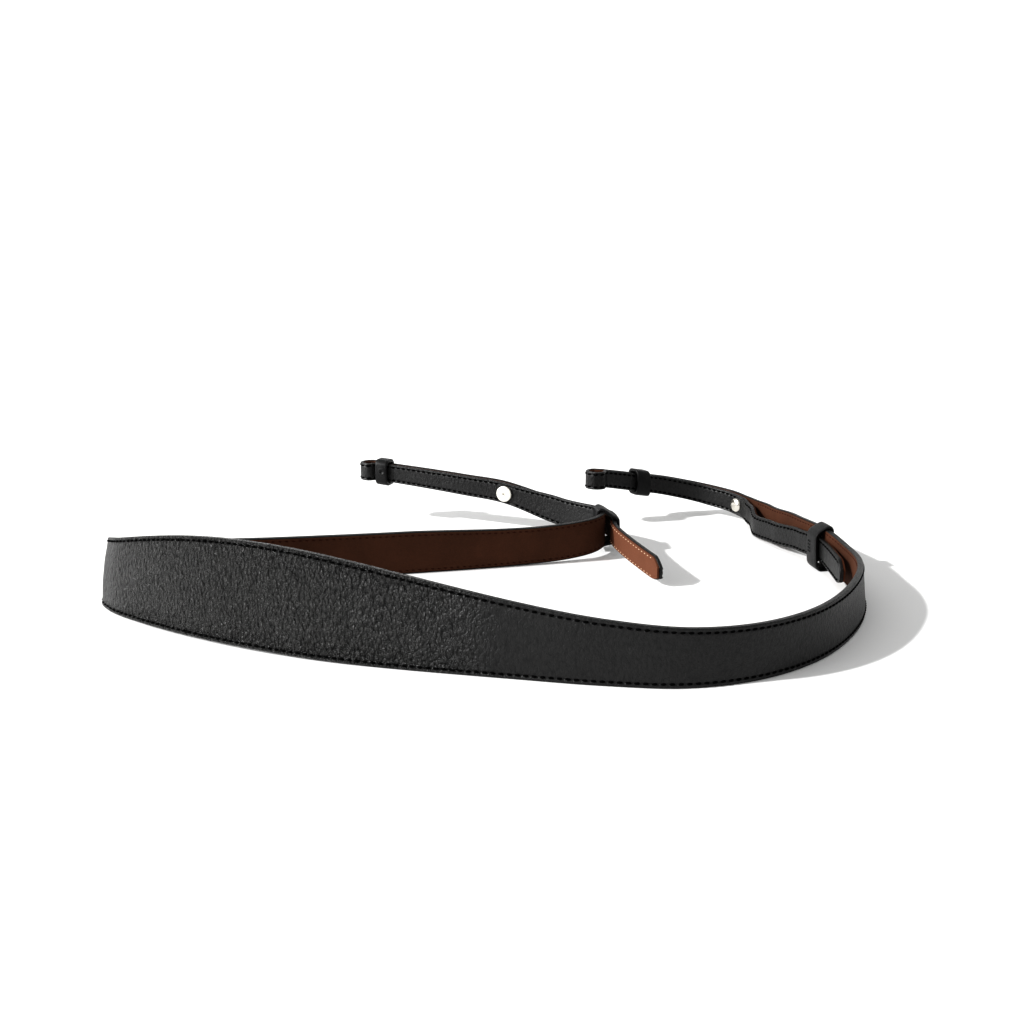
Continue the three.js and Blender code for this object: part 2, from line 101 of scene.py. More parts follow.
ROUTE = (
    RouteRow(-0.19, 0.436, 1, 0, "left_eye"),
    RouteRow(-0.112, 0.4, 0.9, 0),
    RouteRow(-0.043, 0.367, 0.8, 0),
    RouteRow(0.025, 0.335, 0.68, 0, "left_stud"),
    RouteRow(0.094, 0.295, 0.37, 0),
    RouteRow(0.143, 0.254, 0.22, 0),
    RouteRow(0.167, 0.219, 0.18, 0),
    RouteRow(0.172, 0.194, 0.165, 0, "left_keeper"),
    RouteRow(0.172, 0.17, 0.15, 0),
    RouteRow(0.153, 0.133, 0.115, 0),
    RouteRow(0.109, 0.108, 0.045, 1),
    RouteRow(0.029, 0.079, 0.01, 2),
    RouteRow(-0.106, 0.037, 0, 3),
    RouteRow(-0.253, -0.004, 0, 5),
    RouteRow(-0.373, -0.048, 0, 7),
    RouteRow(-0.456, -0.085, 0, 9),
    RouteRow(-0.497, -0.13, 0, 9.5, "left_bend"),
    RouteRow(-0.479, -0.175, 0, 8.5),
    RouteRow(-0.414, -0.246, 0.02, 6),
    RouteRow(-0.337, -0.309, 0.03, 4),
    RouteRow(-0.262, -0.358, 0.03, 3, "pad"),
    RouteRow(-0.176, -0.4, 0.015, 2),
    RouteRow(-0.087, -0.43, 0, 1),
    RouteRow(0.035, -0.464, 0, 0),
    RouteRow(0.133, -0.489, 0, 0),
    RouteRow(0.222, -0.498, 0, 1),
    RouteRow(0.305, -0.467, 0, 2.5),
    RouteRow(0.385, -0.392, 0, 4),
    RouteRow(0.454, -0.269, 0, 6),
    RouteRow(0.493, -0.14, 0, 7),
    RouteRow(0.498, -0.035, 0.02, 6),
    RouteRow(0.485, 0.066, 0.1, 3, "right_keeper"),
    RouteRow(0.461, 0.217, 0.065, 0),
    RouteRow(0.443, 0.33, 0.07, 0),
    RouteRow(0.431, 0.397, 0.14, 0),
    RouteRow(0.421, 0.42, 0.18, 0, "right_stud"),
    RouteRow(0.41, 0.443, 0.21, 0),
    RouteRow(0.366, 0.487, 0.3, 0),
    RouteRow(0.299, 0.486, 0.51, 0),
    RouteRow(0.248, 0.459, 0.67, 0),
    RouteRow(0.186, 0.417, 0.88, 0, "right_eye"),
)

# Share of the growth from end width to arm width, by share of the taper's length past a stud.
TAPER = ((0, 0), (0.18, 0.4), (0.35, 0.64), (0.6, 0.76), (1, 1))

# Share of the tail's bulge and of its drop, by share of the stretch from the stud to the keeper.
TAIL_BULGE_ROWS = {
    Side.LEFT: ((0, 0), (0.5, 0.05), (1, 0.4)),
    Side.RIGHT: ((0, 0), (0.14, 0.25), (0.34, 1), (0.55, 0.75), (0.8, 0.2), (1, 0)),
}
TAIL_DROP_ROWS = {
    Side.LEFT: ((0, 0), (0.5, 0.15), (1, 0.33)),
    Side.RIGHT: ((0, 0), (0.14, 0.25), (0.34, 0.8), (0.55, 0.7), (0.8, 0.3), (1, 0.1)),
}

# Share of a tongue's turn that each stretch from the keeper outwards takes.
TONGUE_TURN_SHARES = (0.5, 0.25, 0.1, 0.05, 0.05, 0.05)

# Headings in degrees of the points round an eye's fold.
EYE_BEND = tuple(range(100, -101, -25))


def eased(rows: tuple[tuple[float, float], ...], place: np.ndarray) -> np.ndarray:
    """Values of a table between its rows, eased from row to row.

    Args:
        rows: Pairs of place and value, in order of place.
        place: The places asked for.

    Returns:
        One value for each place.
    """
    keys = np.array([row[0] for row in rows], float)
    values = np.array([row[1] for row in rows], float)
    place = np.clip(place, keys[0], keys[-1])
    after = np.clip(np.searchsorted(keys, place, side="left"), 1, len(keys) - 1)
    share = (place - keys[after - 1]) / (keys[after] - keys[after - 1])
    share = share * share * (3 - 2 * share)
    return values[after - 1] + share * (values[after] - values[after - 1])


def smooth(low: float, high: float, value: np.ndarray) -> np.ndarray:
    """A soft step from 0 at low to 1 at high."""
    share = np.clip((value - low) / (high - low), 0, 1)
    return share * share * (3 - 2 * share)


def unit(vectors: np.ndarray) -> np.ndarray:
    """Vectors of length one, one for each row."""
    return vectors / np.linalg.norm(vectors, axis=-1, keepdims=True)


class Spline:
    """A centripetal Catmull-Rom curve through points, open at both ends."""

    def __init__(self, points: np.ndarray, divisions: int = 4000) -> None:
        """Measures the curve.

        Args:
            points: The points that it passes through, one a row.
            divisions: Number of stretches that its length is measured in.
        """
        self.points = np.vstack([2 * points[0] - points[1], points, 2 * points[-1] - points[-2]])
        self.last = len(points) - 1
        self.grid = np.linspace(0, 1, divisions + 1)
        steps = np.linalg.norm(np.diff(self.point(self.grid), axis=0), axis=1)
        self.lengths = np.concatenate([[0], np.cumsum(steps)])

    @property
    def total(self) -> float:
        """The curve's whole length."""
        return float(self.lengths[-1])

    def point(self, t: np.ndarray) -> np.ndarray:
        """Points of the curve at shares of its rows from 0 to 1."""
        spread = np.clip(t, 0, 1) * self.last
        row = np.clip(np.floor(spread).astype(int), 0, self.last - 1)
        w = (spread - row)[:, None]
        p0, p1, p2, p3 = (self.points[row + i] for i in range(4))
        pairs = ((p0, p1), (p1, p2), (p2, p3))
        d0, d1, d2 = (np.linalg.norm(b - a, axis=1)[:, None] ** 0.5 for a, b in pairs)
        m1 = ((p1 - p0) / d0 - (p2 - p0) / (d0 + d1) + (p2 - p1) / d1) * d1
        m2 = ((p2 - p1) / d1 - (p3 - p1) / (d1 + d2) + (p3 - p2) / d2) * d1
        square, cube = w * w, w * w * w
        return p1 + m1 * w + (3 * (p2 - p1) - 2 * m1 - m2) * square + (2 * (p1 - p2) + m1 + m2) * cube

    def share(self, distance: np.ndarray) -> np.ndarray:
        """Shares of the rows at distances along the curve."""
        return np.interp(distance, self.lengths, self.grid)

    def tangent(self, t: np.ndarray) -> np.ndarray:
        """Directions of the curve at shares of its rows."""
        step = 1e-4
        return unit(self.point(np.minimum(t + step, 1)) - self.point(np.maximum(t - step, 0)))


@dataclass
class Frames:
    """Places along a strap: its middle, which way is up it and which way its lining faces."""

    middle: np.ndarray
    up: np.ndarray
    brown: np.ndarray
    width: np.ndarray
    puff: np.ndarray

    def turned(self) -> "Frames":
        """The same places in the other order."""
        return Frames(*(column[::-1] for column in self.columns()))

    def columns(self) -> tuple[np.ndarray, ...]:
        """All columns in the order of the fields."""
        return self.middle, self.up, self.brown, self.width, self.puff

    @staticmethod
    def joined(parts: list["Frames"]) -> "Frames":
        """Several stretches, one after the other."""
        return Frames(*(np.concatenate(column) for column in zip(*(part.columns() for part in parts))))


@dataclass
class Plan:
    """The strap's sizes in millimetres, and the shape that it lies in."""

    loop_width: float = 325
    loop_depth: float = 257
    eye_lift: float = 22.3
    pad_width: float = 41.4
    arm_width: float = 20
    end_width: float = 11
    eye_width: float = 9.5
    pad_flare: float = 104
    pad_flare_power: float = 2.1
    taper_length: float = 177
    leather: float = 1.3
    lining: float = 1
    layer_gap: float = 0.3
    pad_puff: float = 1.2
    eye_bore: float = 6.8
    eye_neck: float = 4.4
    eye_shoulder: float = 0.55
    tail_bulge: float = 5.5
    tail_drop: float = 3
    stud_seat: float = 9
    keeper_length: float = 10
    tip_length: float = 6
    tip_width: float = 5.2
    tip_droop: float = 0.9
    tip_curve: float = 1.6
    upright_length: float = 12
    footprint: tuple[float, float] = (0.2368, -0.922)
    tongue_length: dict[Side, float] = field(default_factory=lambda: {Side.LEFT: 60, Side.RIGHT: 34})
    tongue_turn: dict[Side, float] = field(default_factory=lambda: {Side.LEFT: 25, Side.RIGHT: -12})
    tongue_drop: dict[Side, float] = field(default_factory=lambda: {Side.LEFT: 3.4, Side.RIGHT: 1.6})

    @property
    def tail_offset(self) -> float:
        """Distance between the seams of leather and lining in the two layers of an end."""
        return self.layer_gap + 2 * (self.lining + self.layer_gap / 2)

    @property
    def near(self) -> float:
        """Depth of the outer face of an end's main layer."""
        return -(self.layer_gap / 2 + self.leather)

    @property
    def far(self) -> float:
        """Depth of the outer face of an end's tail."""
        return self.tail_offset + self.layer_gap / 2 + self.leather


class StrapLine:
    """The long line that the strap is laid along, from tongue tip to tongue tip."""

    FINE = 0.25

    def __init__(self, plan: Plan) -> None:
        """Lays out the main line, both eyes, tails and tongues.

        Args:
            plan: The strap's sizes.
        """
        self.plan = plan
        scale = (plan.loop_width, plan.loop_depth, plan.eye_lift)
        self.main = Spline(np.array([(row.across, row.back, row.lift) for row in ROUTE]) * scale)
        last = len(ROUTE) - 1
        self.places = {
            row.place: float(np.interp(i / last, self.main.grid, self.main.lengths))
            for i, row in enumerate(ROUTE) if row.place
        }
        self.fold_count: dict[Side, int] = {}
        left, right = self._end(Side.LEFT), self._end(Side.RIGHT)
        steps = int(self.main.total / self.FINE)
        self.main_from = np.linspace(self.FINE / 2, self.main.total - self.FINE / 2, steps)
        main = self.main_frames(self.main_from)
        self.frames = Frames.joined([left.turned(), main, right])
        moved = np.linalg.norm(np.diff(self.frames.middle, axis=0), axis=1)
        self.distance = np.concatenate([[0], np.cumsum(moved)])
        first = len(left.width)
        last = first + steps - 1
        self.fold_length = {
            Side.LEFT: float(self.distance[first] - self.distance[first - self.fold_count[Side.LEFT]]),
            Side.RIGHT: float(self.distance[last + self.fold_count[Side.RIGHT]] - self.distance[last]),
        }
        self.main_at = self.distance[first:last + 1]

    @property
    def total(self) -> float:
        """Length of the whole line, which is that of the leather before it was folded."""
        return float(self.distance[-1])

    def _width(self, distance: np.ndarray) -> np.ndarray:
        """Widths of the strap at distances along the main line."""
        plan, places = self.plan, self.places
        from_stud = np.minimum(distance - places["left_stud"], places["right_stud"] - distance)
        stretch = np.minimum(distance, self.main.total - distance)
        end = plan.eye_width + (plan.end_width - plan.eye_width) * stretch / (stretch - from_stud + 1e-9)
        gain = eased(TAPER, from_stud / plan.taper_length)
        arm = plan.end_width + (plan.arm_width - plan.end_width) * gain
        return np.where(from_stud < 0, end, arm + (plan.pad_width - plan.arm_width) * self._pad(distance))

    def _pad(self, distance: np.ndarray) -> np.ndarray:
        """Share of the pad in the strap at distances along the main line."""
        away = np.abs(distance - self.places["pad"]) / self.plan.pad_flare
        return np.exp(-(away ** self.plan.pad_flare_power))

    def main_frames(self, distance: np.ndarray) -> Frames:
        """Frames of the main layer at distances from the left eye."""
        t = self.main.share(distance)
        along = unit(self.main.tangent(t) * (1, 1, 0))
        leans = np.radians([row.lean for row in ROUTE])
        lean = np.interp(t * self.main.last, np.arange(len(ROUTE)), leans)[:, None]
        inward = np.cross(UP, along)
        up = UP * np.cos(lean) + inward * np.sin(lean)
        brown = inward * np.cos(lean) - UP * np.sin(lean)
        width = self._width(distance)
        edge = self.main.point(t)
        edge[:, 2] = np.maximum(edge[:, 2], 0)
        middle = edge + up * width[:, None] / 2
        return Frames(middle, up, brown, width, self._pad(distance))

    def _tail_frames(self, side: Side, distance: np.ndarray) -> Frames:
        """Frames of the tail that lies against the main layer at distances from the left eye."""
        plan = self.plan
        main = self.main_frames(distance)
        start = self.places[f"{side.word}_stud"] + side.value * plan.stud_seat / 2
        reach = np.maximum(0, (distance - start) / (self.places[f"{side.word}_keeper"] - start))
        away = plan.tail_offset + plan.tail_bulge * eased(TAIL_BULGE_ROWS[side], reach)
        drop = plan.tail_drop * eased(TAIL_DROP_ROWS[side], reach)
        middle = main.middle + main.brown * away[:, None] - UP * drop[:, None]
        width = np.minimum(main.width, plan.end_width)
        return Frames(middle, main.up, -main.brown, width, width * 0)

    def _tongue_frames(self, side: Side, tail: Frames) -> Frames:
        """Frames of the free tongue, from the keeper's mouth to its clipped tip."""
        plan = self.plan
        length = plan.tongue_length[side]
        stretch = (length - plan.tip_length) / len(TONGUE_TURN_SHARES)
        place = np.arange(self.FINE, length + 1e-6, self.FINE)
        gained = np.concatenate([[0], np.cumsum(TONGUE_TURN_SHARES)])
        keys = np.array([0, *(stretch * (0.5 + np.arange(len(TONGUE_TURN_SHARES))))])
        turn = math.radians(plan.tongue_turn[side]) * np.interp(place, keys, gained)
        first = unit((tail.middle[-1] - tail.middle[-5]) * (1, 1, 0))
        heading = math.atan2(first[1], first[0]) + turn
        along = np.stack([np.cos(heading), np.sin(heading), heading * 0], axis=1)
        slope = UP * plan.tongue_drop[side] / length
        middle = tail.middle[-1] + np.cumsum((along - slope) * self.FINE, axis=0)
        brown = np.cross(UP, along * -side.value)
        into_tip = np.clip((place - (length - plan.tip_length)) / plan.tip_length, 0, 1) ** plan.tip_curve
        width = plan.end_width + (plan.tip_width - plan.end_width) * into_tip
        middle -= UP * (plan.tip_droop * into_tip)[:, None]
        upright = smooth(0, plan.upright_length, place)[:, None]
        up = unit(tail.up[-1] * (1 - upright) + UP * upright)
        return Frames(middle, up, brown, width, width * 0)

    def _eye_frames(self, side: Side) -> Frames:
        """Frames of the fold round an eye, from the main layer to the tail."""
        plan = self.plan
        at = np.array([0.0 if side is Side.LEFT else self.main.total])
        main = self.main_frames(at)
        along = unit(self.main.tangent(self.main.share(at)) * (1, 1, 0))[0]
        outward = -along * side.value
        centre = main.middle[0] + main.brown[0] * plan.tail_offset / 2
        radius = plan.eye_bore / 2 + plan.lining + plan.layer_gap / 2
        half = plan.tail_offset / 2
        shoulder = half + (radius - half) * plan.eye_shoulder
        neck = [(-plan.eye_neck, half), (0, half), (plan.eye_neck / 2, shoulder)]
        turns = np.radians(EYE_BEND)
        bend = [(plan.eye_neck + radius * math.cos(a), radius * math.sin(a)) for a in turns]
        outline = np.array([*neck, *bend, *[(x, -y) for x, y in reversed(neck)]])
        points = centre + outline[:, :1] * outward + outline[:, 1:] * main.brown[0]
        curve = Spline(points, 800)
        ends = [curve.grid.searchsorted(share) for share in (1 / curve.last, 1 - 1 / curve.last)]
        start, end = curve.lengths[ends]
        t = curve.share(np.arange(start + self.FINE, end, self.FINE))
        heading = curve.tangent(t) * side.value
        count = len(t)
        width = np.full(count, plan.eye_width)
        fold = Frames(curve.point(t), np.tile(UP, (count, 1)), np.cross(UP, heading), width, width * 0)
        self.fold_count[side] = count
        return fold.turned()

    def _end(self, side: Side) -> Frames:
        """Frames from the eye's fold over the tail to the tongue's tip."""
        mouth = self.places[f"{side.word}_keeper"] + side.value * self.plan.keeper_length / 2
        eye = 0.0 if side is Side.LEFT else self.main.total
        count = int(abs(mouth - eye) / self.FINE)
        start = eye + side.value * self.FINE / 2
        tail = self._tail_frames(side, np.linspace(start, mouth, count))
        return Frames.joined([self._eye_frames(side), tail, self._tongue_frames(side, tail)])

    def at(self, distance: np.ndarray) -> Frames:
        """Frames at distances along the whole line."""
        def column(values: np.ndarray) -> np.ndarray:
            """One column of the line's frames at those distances."""
            if values.ndim == 1:
                return np.interp(distance, self.distance, values)
            return np.stack([np.interp(distance, self.distance, values[:, i]) for i in range(3)], axis=1)
        middle, up, brown, width, puff = (column(values) for values in self.frames.columns())
        return Frames(middle, unit(up), unit(brown), width, puff)

    def on_main(self, distance: float) -> float:
        """Place on the whole line of a distance along the main layer."""
        return float(np.interp(distance, self.main_from, self.main_at))

    def place(self, name: str) -> float:
        """Place on the whole line of one of the route's named rows."""
        return self.on_main(self.places[name])

    def lay(self, flat: np.ndarray) -> np.ndarray:
        """Lays flat places along the line.

        Args:
            flat: Rows of distance, height and depth in millimetres.

        Returns:
            Rows of points in the row's frame, in metres.
        """
        frames = self.at(flat[:, 0])
        points = frames.middle + frames.up * flat[:, 1:2] + frames.brown * flat[:, 2:3]
        points[:, 2] = np.maximum(points[:, 2], 0)
        return self.seat(points)

    def seat(self, points: np.ndarray) -> np.ndarray:
        """Points of the plan in millimetres, moved to the row's frame in metres."""
        return (points - (*self.plan.footprint, 0)) * MM


# Shader maths


class Signal:
    """An output socket of a material's nodes that numbers can be reckoned with."""

    def __init__(self, bench: "Bench", socket: bpy.types.NodeSocket) -> None:
        """Wraps a socket.

        Args:
            bench: The bench that the socket's node stands on.
            socket: The output socket.
        """
        self.bench = bench
        self.socket = socket

    def _maths(self, operation: str, *values: "Signal | float") -> "Signal":
        """One Math node on the values, in their order."""
        return self.bench.node("ShaderNodeMath", {"operation": operation}, dict(enumerate(values)))

    def __add__(self, other: "Signal | float") -> "Signal":
        """Sum."""
        return self._maths("ADD", self, other)

    __radd__ = __add__

    def __mul__(self, other: "Signal | float") -> "Signal":
        """Product."""
        return self._maths("MULTIPLY", self, other)

    __rmul__ = __mul__

    def __sub__(self, other: "Signal | float") -> "Signal":
        """Difference."""
        return self._maths("SUBTRACT", self, other)

    def __rsub__(self, other: "Signal | float") -> "Signal":
        """Difference from a number."""
        return self._maths("SUBTRACT", other, self)

    def step(self, low: float, high: float) -> "Signal":
        """A soft step from 0 at low to 1 at high."""
        settings = {"interpolation_type": "SMOOTHSTEP"}
        feeds = {"Value": self, "From Min": low, "From Max": high}
        return self.bench.node("ShaderNodeMapRange", settings, feeds)


Feed = Signal | float | tuple[float, ...]


class Bench:
    """The node tree of one material."""

    def __init__(self, name: str) -> None:
        """Starts an empty material.

        Args:
            name: The material's name.
        """
        self.material = bpy.data.materials.new(name)
        self.material.use_nodes = True
        self.tree = self.material.node_tree
        self.tree.nodes.clear()

    def node(
        self,
        kind: str,
        settings: dict[str, object] | None = None,
        feeds: dict[str | int, Feed] | None = None,
        output: str | int = 0,
    ) -> Signal:
        """Adds a node.

        Args:
            kind: The node's type.
            settings: Its settings, such as a Math node's operation or a ramp's stops.
            feeds: Values or links by the name or number of the input socket.
            output: The name or number of the output socket that is wanted.

        Returns:
            That output.
        """
        item = self.tree.nodes.new(kind)
        for key, value in (settings or {}).items():
            if key == "stops":
                self._set_stops(item.color_ramp, value)
            else:
                setattr(item, key, value)
        for key, value in (feeds or {}).items():
            if isinstance(value, Signal):
                self.tree.links.new(value.socket, item.inputs[key])
            else:
                item.inputs[key].default_value = value
        return Signal(self, item.outputs[output])

    @staticmethod
    def _set_stops(ramp: bpy.types.ColorRamp, stops: list[tuple[float, tuple[float, ...]]]) -> None:
        """Sets the stops of a new two-stop ramp."""
        while len(ramp.elements) < len(stops):
            ramp.elements.new(0.5)
        for element, (place, colour) in zip(ramp.elements, stops):
            element.position = place
            element.color = (*colour, 1)

    def place(self) -> Signal:
        """Object coordinates."""
        return self.node("ShaderNodeTexCoord", output="Object")

    def attribute(self, name: str) -> Signal:
        """A number that the mesh carries."""
        return self.node("ShaderNodeAttribute", {"attribute_name": name}, output="Fac")

    def noise(self, place: Signal, size: float, detail: float = 2, rough: float = 0.5) -> Signal:
        """Noise whose blots are about size metres across."""
        feeds = {"Vector": place, "Scale": 1 / size, "Detail": detail, "Roughness": rough}
        return self.node("ShaderNodeTexNoise", feeds=feeds, output="Fac")

    def cells(self, place: Signal, size: float, feature: str) -> Signal:
        """Voronoi distances for cells of a size in metres."""
        feeds = {"Vector": place, "Scale": 1 / size}
        return self.node("ShaderNodeTexVoronoi", {"feature": feature}, feeds, "Distance")

    def creases(self, place: Signal, size: float, reach: float) -> Signal:
        """Wandering creases, 0 in the crease and 1 between them."""
        away = self.noise(place, size) - 0.5
        return self.node("ShaderNodeMath", {"operation": "ABSOLUTE"}, {0: away}).step(0, reach)

    def stirred(self, place: Signal, size: float, amount: float) -> Signal:
        """Coordinates pushed about by noise, so that a pattern's lines wander."""
        feeds = {"Vector": place, "Scale": 1 / size, "Detail": 2.0}
        push = self.node("ShaderNodeTexNoise", feeds=feeds, output="Color")
        centred = self.node("ShaderNodeVectorMath", {"operation": "SUBTRACT"}, {0: push, 1: (0.5, 0.5, 0.5)})
        scaled = self.node("ShaderNodeVectorMath", {"operation": "SCALE"}, {0: centred, "Scale": amount})
        return self.node("ShaderNodeVectorMath", {"operation": "ADD"}, {0: place, 1: scaled})

    def stretched(self, place: Signal, scale: tuple[float, float, float]) -> Signal:
        """Coordinates scaled along the axes."""
        return self.node("ShaderNodeMapping", feeds={"Vector": place, "Scale": scale})

    def blend(self, share: Signal, low: tuple[float, ...], high: tuple[float, ...]) -> Signal:
        """A colour between two."""
        feeds = {"Factor": share, 6: (*low, 1.0), 7: (*high, 1.0)}
        return self.node("ShaderNodeMix", {"data_type": "RGBA"}, feeds, 2)

    def finish(self, feeds: dict[str, Feed], height: Signal, depth: float) -> bpy.types.Material:
        """Closes the material with its surface and its relief.

        Args:
            feeds: What goes into the surface's sockets.
            height: The relief from 0 to 1.
            depth: The relief's depth in metres.

        Returns:
            The finished material.
        """
        bump = self.node("ShaderNodeBump", feeds={"Strength": 1.0, "Distance": depth, "Height": height})
        surface = self.node("ShaderNodeBsdfPrincipled", feeds={**feeds, "Normal": bump})
        output = self.tree.nodes.new("ShaderNodeOutputMaterial")
        self.tree.links.new(surface.socket, output.inputs["Surface"])
        return self.material


@dataclass(frozen=True)
class GrainedLeather:
    """Black leather with a pressed pebble grain, coarse on the pad and fine on the arms."""

    name: str = "grained_leather"
    # dark and light are the ends of the base colour, which carries painted shade in the creases and a painted
    # sheen on the pad besides the leather's own blotches.
    dark: tuple[float, float, float] = (0.002, 0.002, 0.0021)
    light: tuple[float, float, float] = (0.044, 0.0432, 0.0424)
    pebble: float = 0.0016
    fine_pebble: float = 0.0009
    relief: float = 0.0024
    gloss: float = 0.42

    def make(self) -> bpy.types.Material:
        """Makes the material, which reads the mesh's share of the pad."""
        bench = Bench(self.name)
        place = bench.place()
        pad = bench.attribute("share").step(0.38, 0.75)
        drawn = bench.stretched(bench.stirred(place, 0.005, 0.0014), (1, 1, 0.6))
        coarse = bench.creases(drawn, self.pebble, 0.085)
        small = bench.creases(drawn, self.fine_pebble, 0.11)
        from_middle = bench.cells(drawn, self.pebble * 0.75, "F1")
        domes = 1 - from_middle * from_middle * 2.2
        wrinkle = bench.noise(drawn, 0.0022, 3, 0.6)
        swell = bench.noise(place, 0.009, 2)
        pores = bench.noise(place, 0.0004, 2)
        coarse_relief = coarse * 0.2 + small * 0.2 + domes * 0.42 + wrinkle * 0.9 + swell * 1.0 + pores * 0.06
        fine_relief = small * 0.025 + domes * 0.025 + wrinkle * 0.04 + swell * 0.07 + pores * 0.01
        height = coarse_relief * pad + fine_relief * (1 - pad)
        blot = bench.noise(place, 0.03, 3)
        # Base colour with painted light: darker in the creases (painted shade) and paler over the whole pad
        # (painted sheen). It is also paler in the middles of the pebbles and has random blotches.
        tone_and_painted_light = (coarse * 0.35 + domes * 0.3 + blot * 0.35) * (0.25 + pad * 0.75)
        roughness = 0.49 - pad * 0.2 - coarse * 0.04 + (blot - 0.5) * 0.1
        feeds = {
            "Base Color": bench.blend(tone_and_painted_light, self.dark, self.light),
            "Roughness": roughness,
            "Specular IOR Level": self.gloss,
        }
        return bench.finish(feeds, height, self.relief)


@dataclass(frozen=True)
class SplitLeather:
    """Brown split leather with a short nap, as on the strap's inside, with painted sunlight that makes the
    tongues paler.
    """

    name: str = "split_leather"
    # The light end also serves the painted sunlight that makes the tongues paler.
    dark: tuple[float, float, float] = (0.023, 0.0107, 0.0055)
    light: tuple[float, float, float] = (0.145, 0.0593, 0.0331)

    def make(self) -> bpy.types.Material:
        """Makes the material."""
        bench = Bench(self.name)
        place = bench.place()
        cloud = bench.noise(place, 0.018, 4, 0.6)
        nap = bench.noise(bench.stretched(place, (1, 1, 2.2)), 0.0007, 3, 0.7)
        speck = bench.noise(place, 0.00022, 2)
        pores = bench.cells(bench.stirred(place, 0.002, 0.0006), 0.0008, "F1").step(0.05, 0.6)
        # The share attribute adds painted sunlight: the tongues are painted paler than the rest of the
        # lining.
        tone_and_painted_light = cloud * 0.35 + nap * 0.4 + speck * 0.2 - 0.12 + bench.attribute("share") * 0.5
        height = nap * 0.5 + pores * 0.3 + speck * 0.25
        feeds = {
            "Base Color": bench.blend(tone_and_painted_light, self.dark, self.light),
            "Roughness": 0.78 + nap * 0.14,
            "Specular IOR Level": 0.2,
        }
        return bench.finish(feeds, height, 0.00012)


@dataclass(frozen=True)
class SmoothLeather:
    """Smooth black leather of the keepers, or the black paint on a cut edge."""

    name: str = "smooth_leather"
    dark: tuple[float, float, float] = (0.005, 0.005, 0.0052)
    light: tuple[float, float, float] = (0.013, 0.013, 0.0132)
    grain: float = 0.0009
    relief: float = 0.00007
    roughness: float = 0.4
    gloss: float = 0.25

    def make(self) -> bpy.types.Material:
        """Makes the material."""
        bench = Bench(self.name)
        place = bench.place()
        cells = bench.cells(bench.stirred(place, 0.003, 0.0008), self.grain, "DISTANCE_TO_EDGE").step(0, 0.3)
        wear = bench.noise(place, 0.006, 4, 0.6)
        pores = bench.noise(place, 0.0003, 2)
        height = cells * 0.5 + wear * 0.6 + pores * 0.15
        # The base colour is darker along the grain's grooves, a painted shade; wear is random tone.
        feeds = {
            "Base Color": bench.blend(wear * 0.7 + cells * 0.3, self.dark, self.light),
            "Roughness": self.roughness + (wear - 0.5) * 0.25 + pores * 0.05,
            "Specular IOR Level": self.gloss,
        }
        return bench.finish(feeds, height, self.relief)


@dataclass(frozen=True)
class WaxedThread:
    """Twisted sewing thread."""

    name: str = "black_thread"
    dark: tuple[float, float, float] = (0.0008, 0.0008, 0.0008)
    light: tuple[float, float, float] = (0.003, 0.003, 0.003)
    roughness: float = 0.7
    gloss: float = 0.05

    def make(self) -> bpy.types.Material:
        """Makes the material."""
        bench = Bench(self.name)
        place = bench.place()
        ply = bench.noise(bench.stretched(place, (1, 1, 2.5)), 0.00022, 2)
        fuzz = bench.noise(place, 0.0001, 2)
        feeds = {
            "Base Color": bench.blend(ply * 0.7 + fuzz * 0.4, self.dark, self.light),
            "Roughness": self.roughness + fuzz * 0.2,
            "Specular IOR Level": self.gloss,
        }
        return bench.finish(feeds, ply * 0.7 + fuzz * 0.3, 0.00005)


@dataclass(frozen=True)
class PlatedMetal:
    """Polished nickel plate with the faint marks of use."""

    name: str = "plated_metal"
    dark: tuple[float, float, float] = (0.66, 0.63, 0.57)
    light: tuple[float, float, float] = (0.80, 0.78, 0.73)
    roughness: float = 0.16

    def make(self) -> bpy.types.Material:
        """Makes the material."""
        bench = Bench(self.name)
        place = bench.place()
        cloud = bench.noise(place, 0.003, 3)
        scratch = bench.noise(bench.stretched(place, (6, 1, 1)), 0.0006, 3, 0.7)
        feeds = {
            "Base Color": bench.blend(cloud, self.dark, self.light),
            "Roughness": self.roughness + scratch * 0.12 + cloud * 0.06,
            "Metallic": 1.0,
        }
        return bench.finish(feeds, scratch * 0.5 + cloud * 0.3, 0.00002)


EDGE_PAINT = SmoothLeather("edge_paint", (0.005, 0.005, 0.005), (0.012, 0.012, 0.012), 0.0022, 0.00006, 0.42)
# One lining thread in two copies: dark brown as painted shade on the lining, tan as painted sunlight on the
# tongues.
SHADED_BROWN_THREAD = WaxedThread("shaded_brown_thread", (0.020, 0.006, 0.004), (0.055, 0.018, 0.011), 0.6)
SUNLIT_TAN_THREAD = WaxedThread("sunlit_tan_thread", (0.34, 0.22, 0.14), (0.7, 0.52, 0.38), 0.6)
MATT_PLATE = PlatedMetal("matt_plate", (0.74, 0.72, 0.66), (0.86, 0.84, 0.79), 0.42)


# Modelling


def fresh(piece_name: str) -> bpy.types.Object:
    """Names the primitive that was just added, and gives it back."""
    piece = bpy.context.object
    piece.name = piece_name
    piece.data.name = piece_name
    return piece


def nothing_selected() -> None:
    """Deselects every object, so that an operator acts on the next piece alone."""
    bpy.ops.object.select_all(action="DESELECT")


def select_only(piece: bpy.types.Object) -> None:
    """Selects a piece alone and makes it the active one."""
    nothing_selected()
    piece.select_set(True)
    bpy.context.view_layer.objects.active = piece


@contextmanager
def editing(piece: bpy.types.Object) -> Iterator[None]:
    """Edit mode on a piece, with all of it selected."""
    select_only(piece)
    bpy.ops.object.mode_set(mode="EDIT")
    bpy.ops.mesh.select_all(action="SELECT")
    yield
    bpy.ops.object.mode_set(mode="OBJECT")


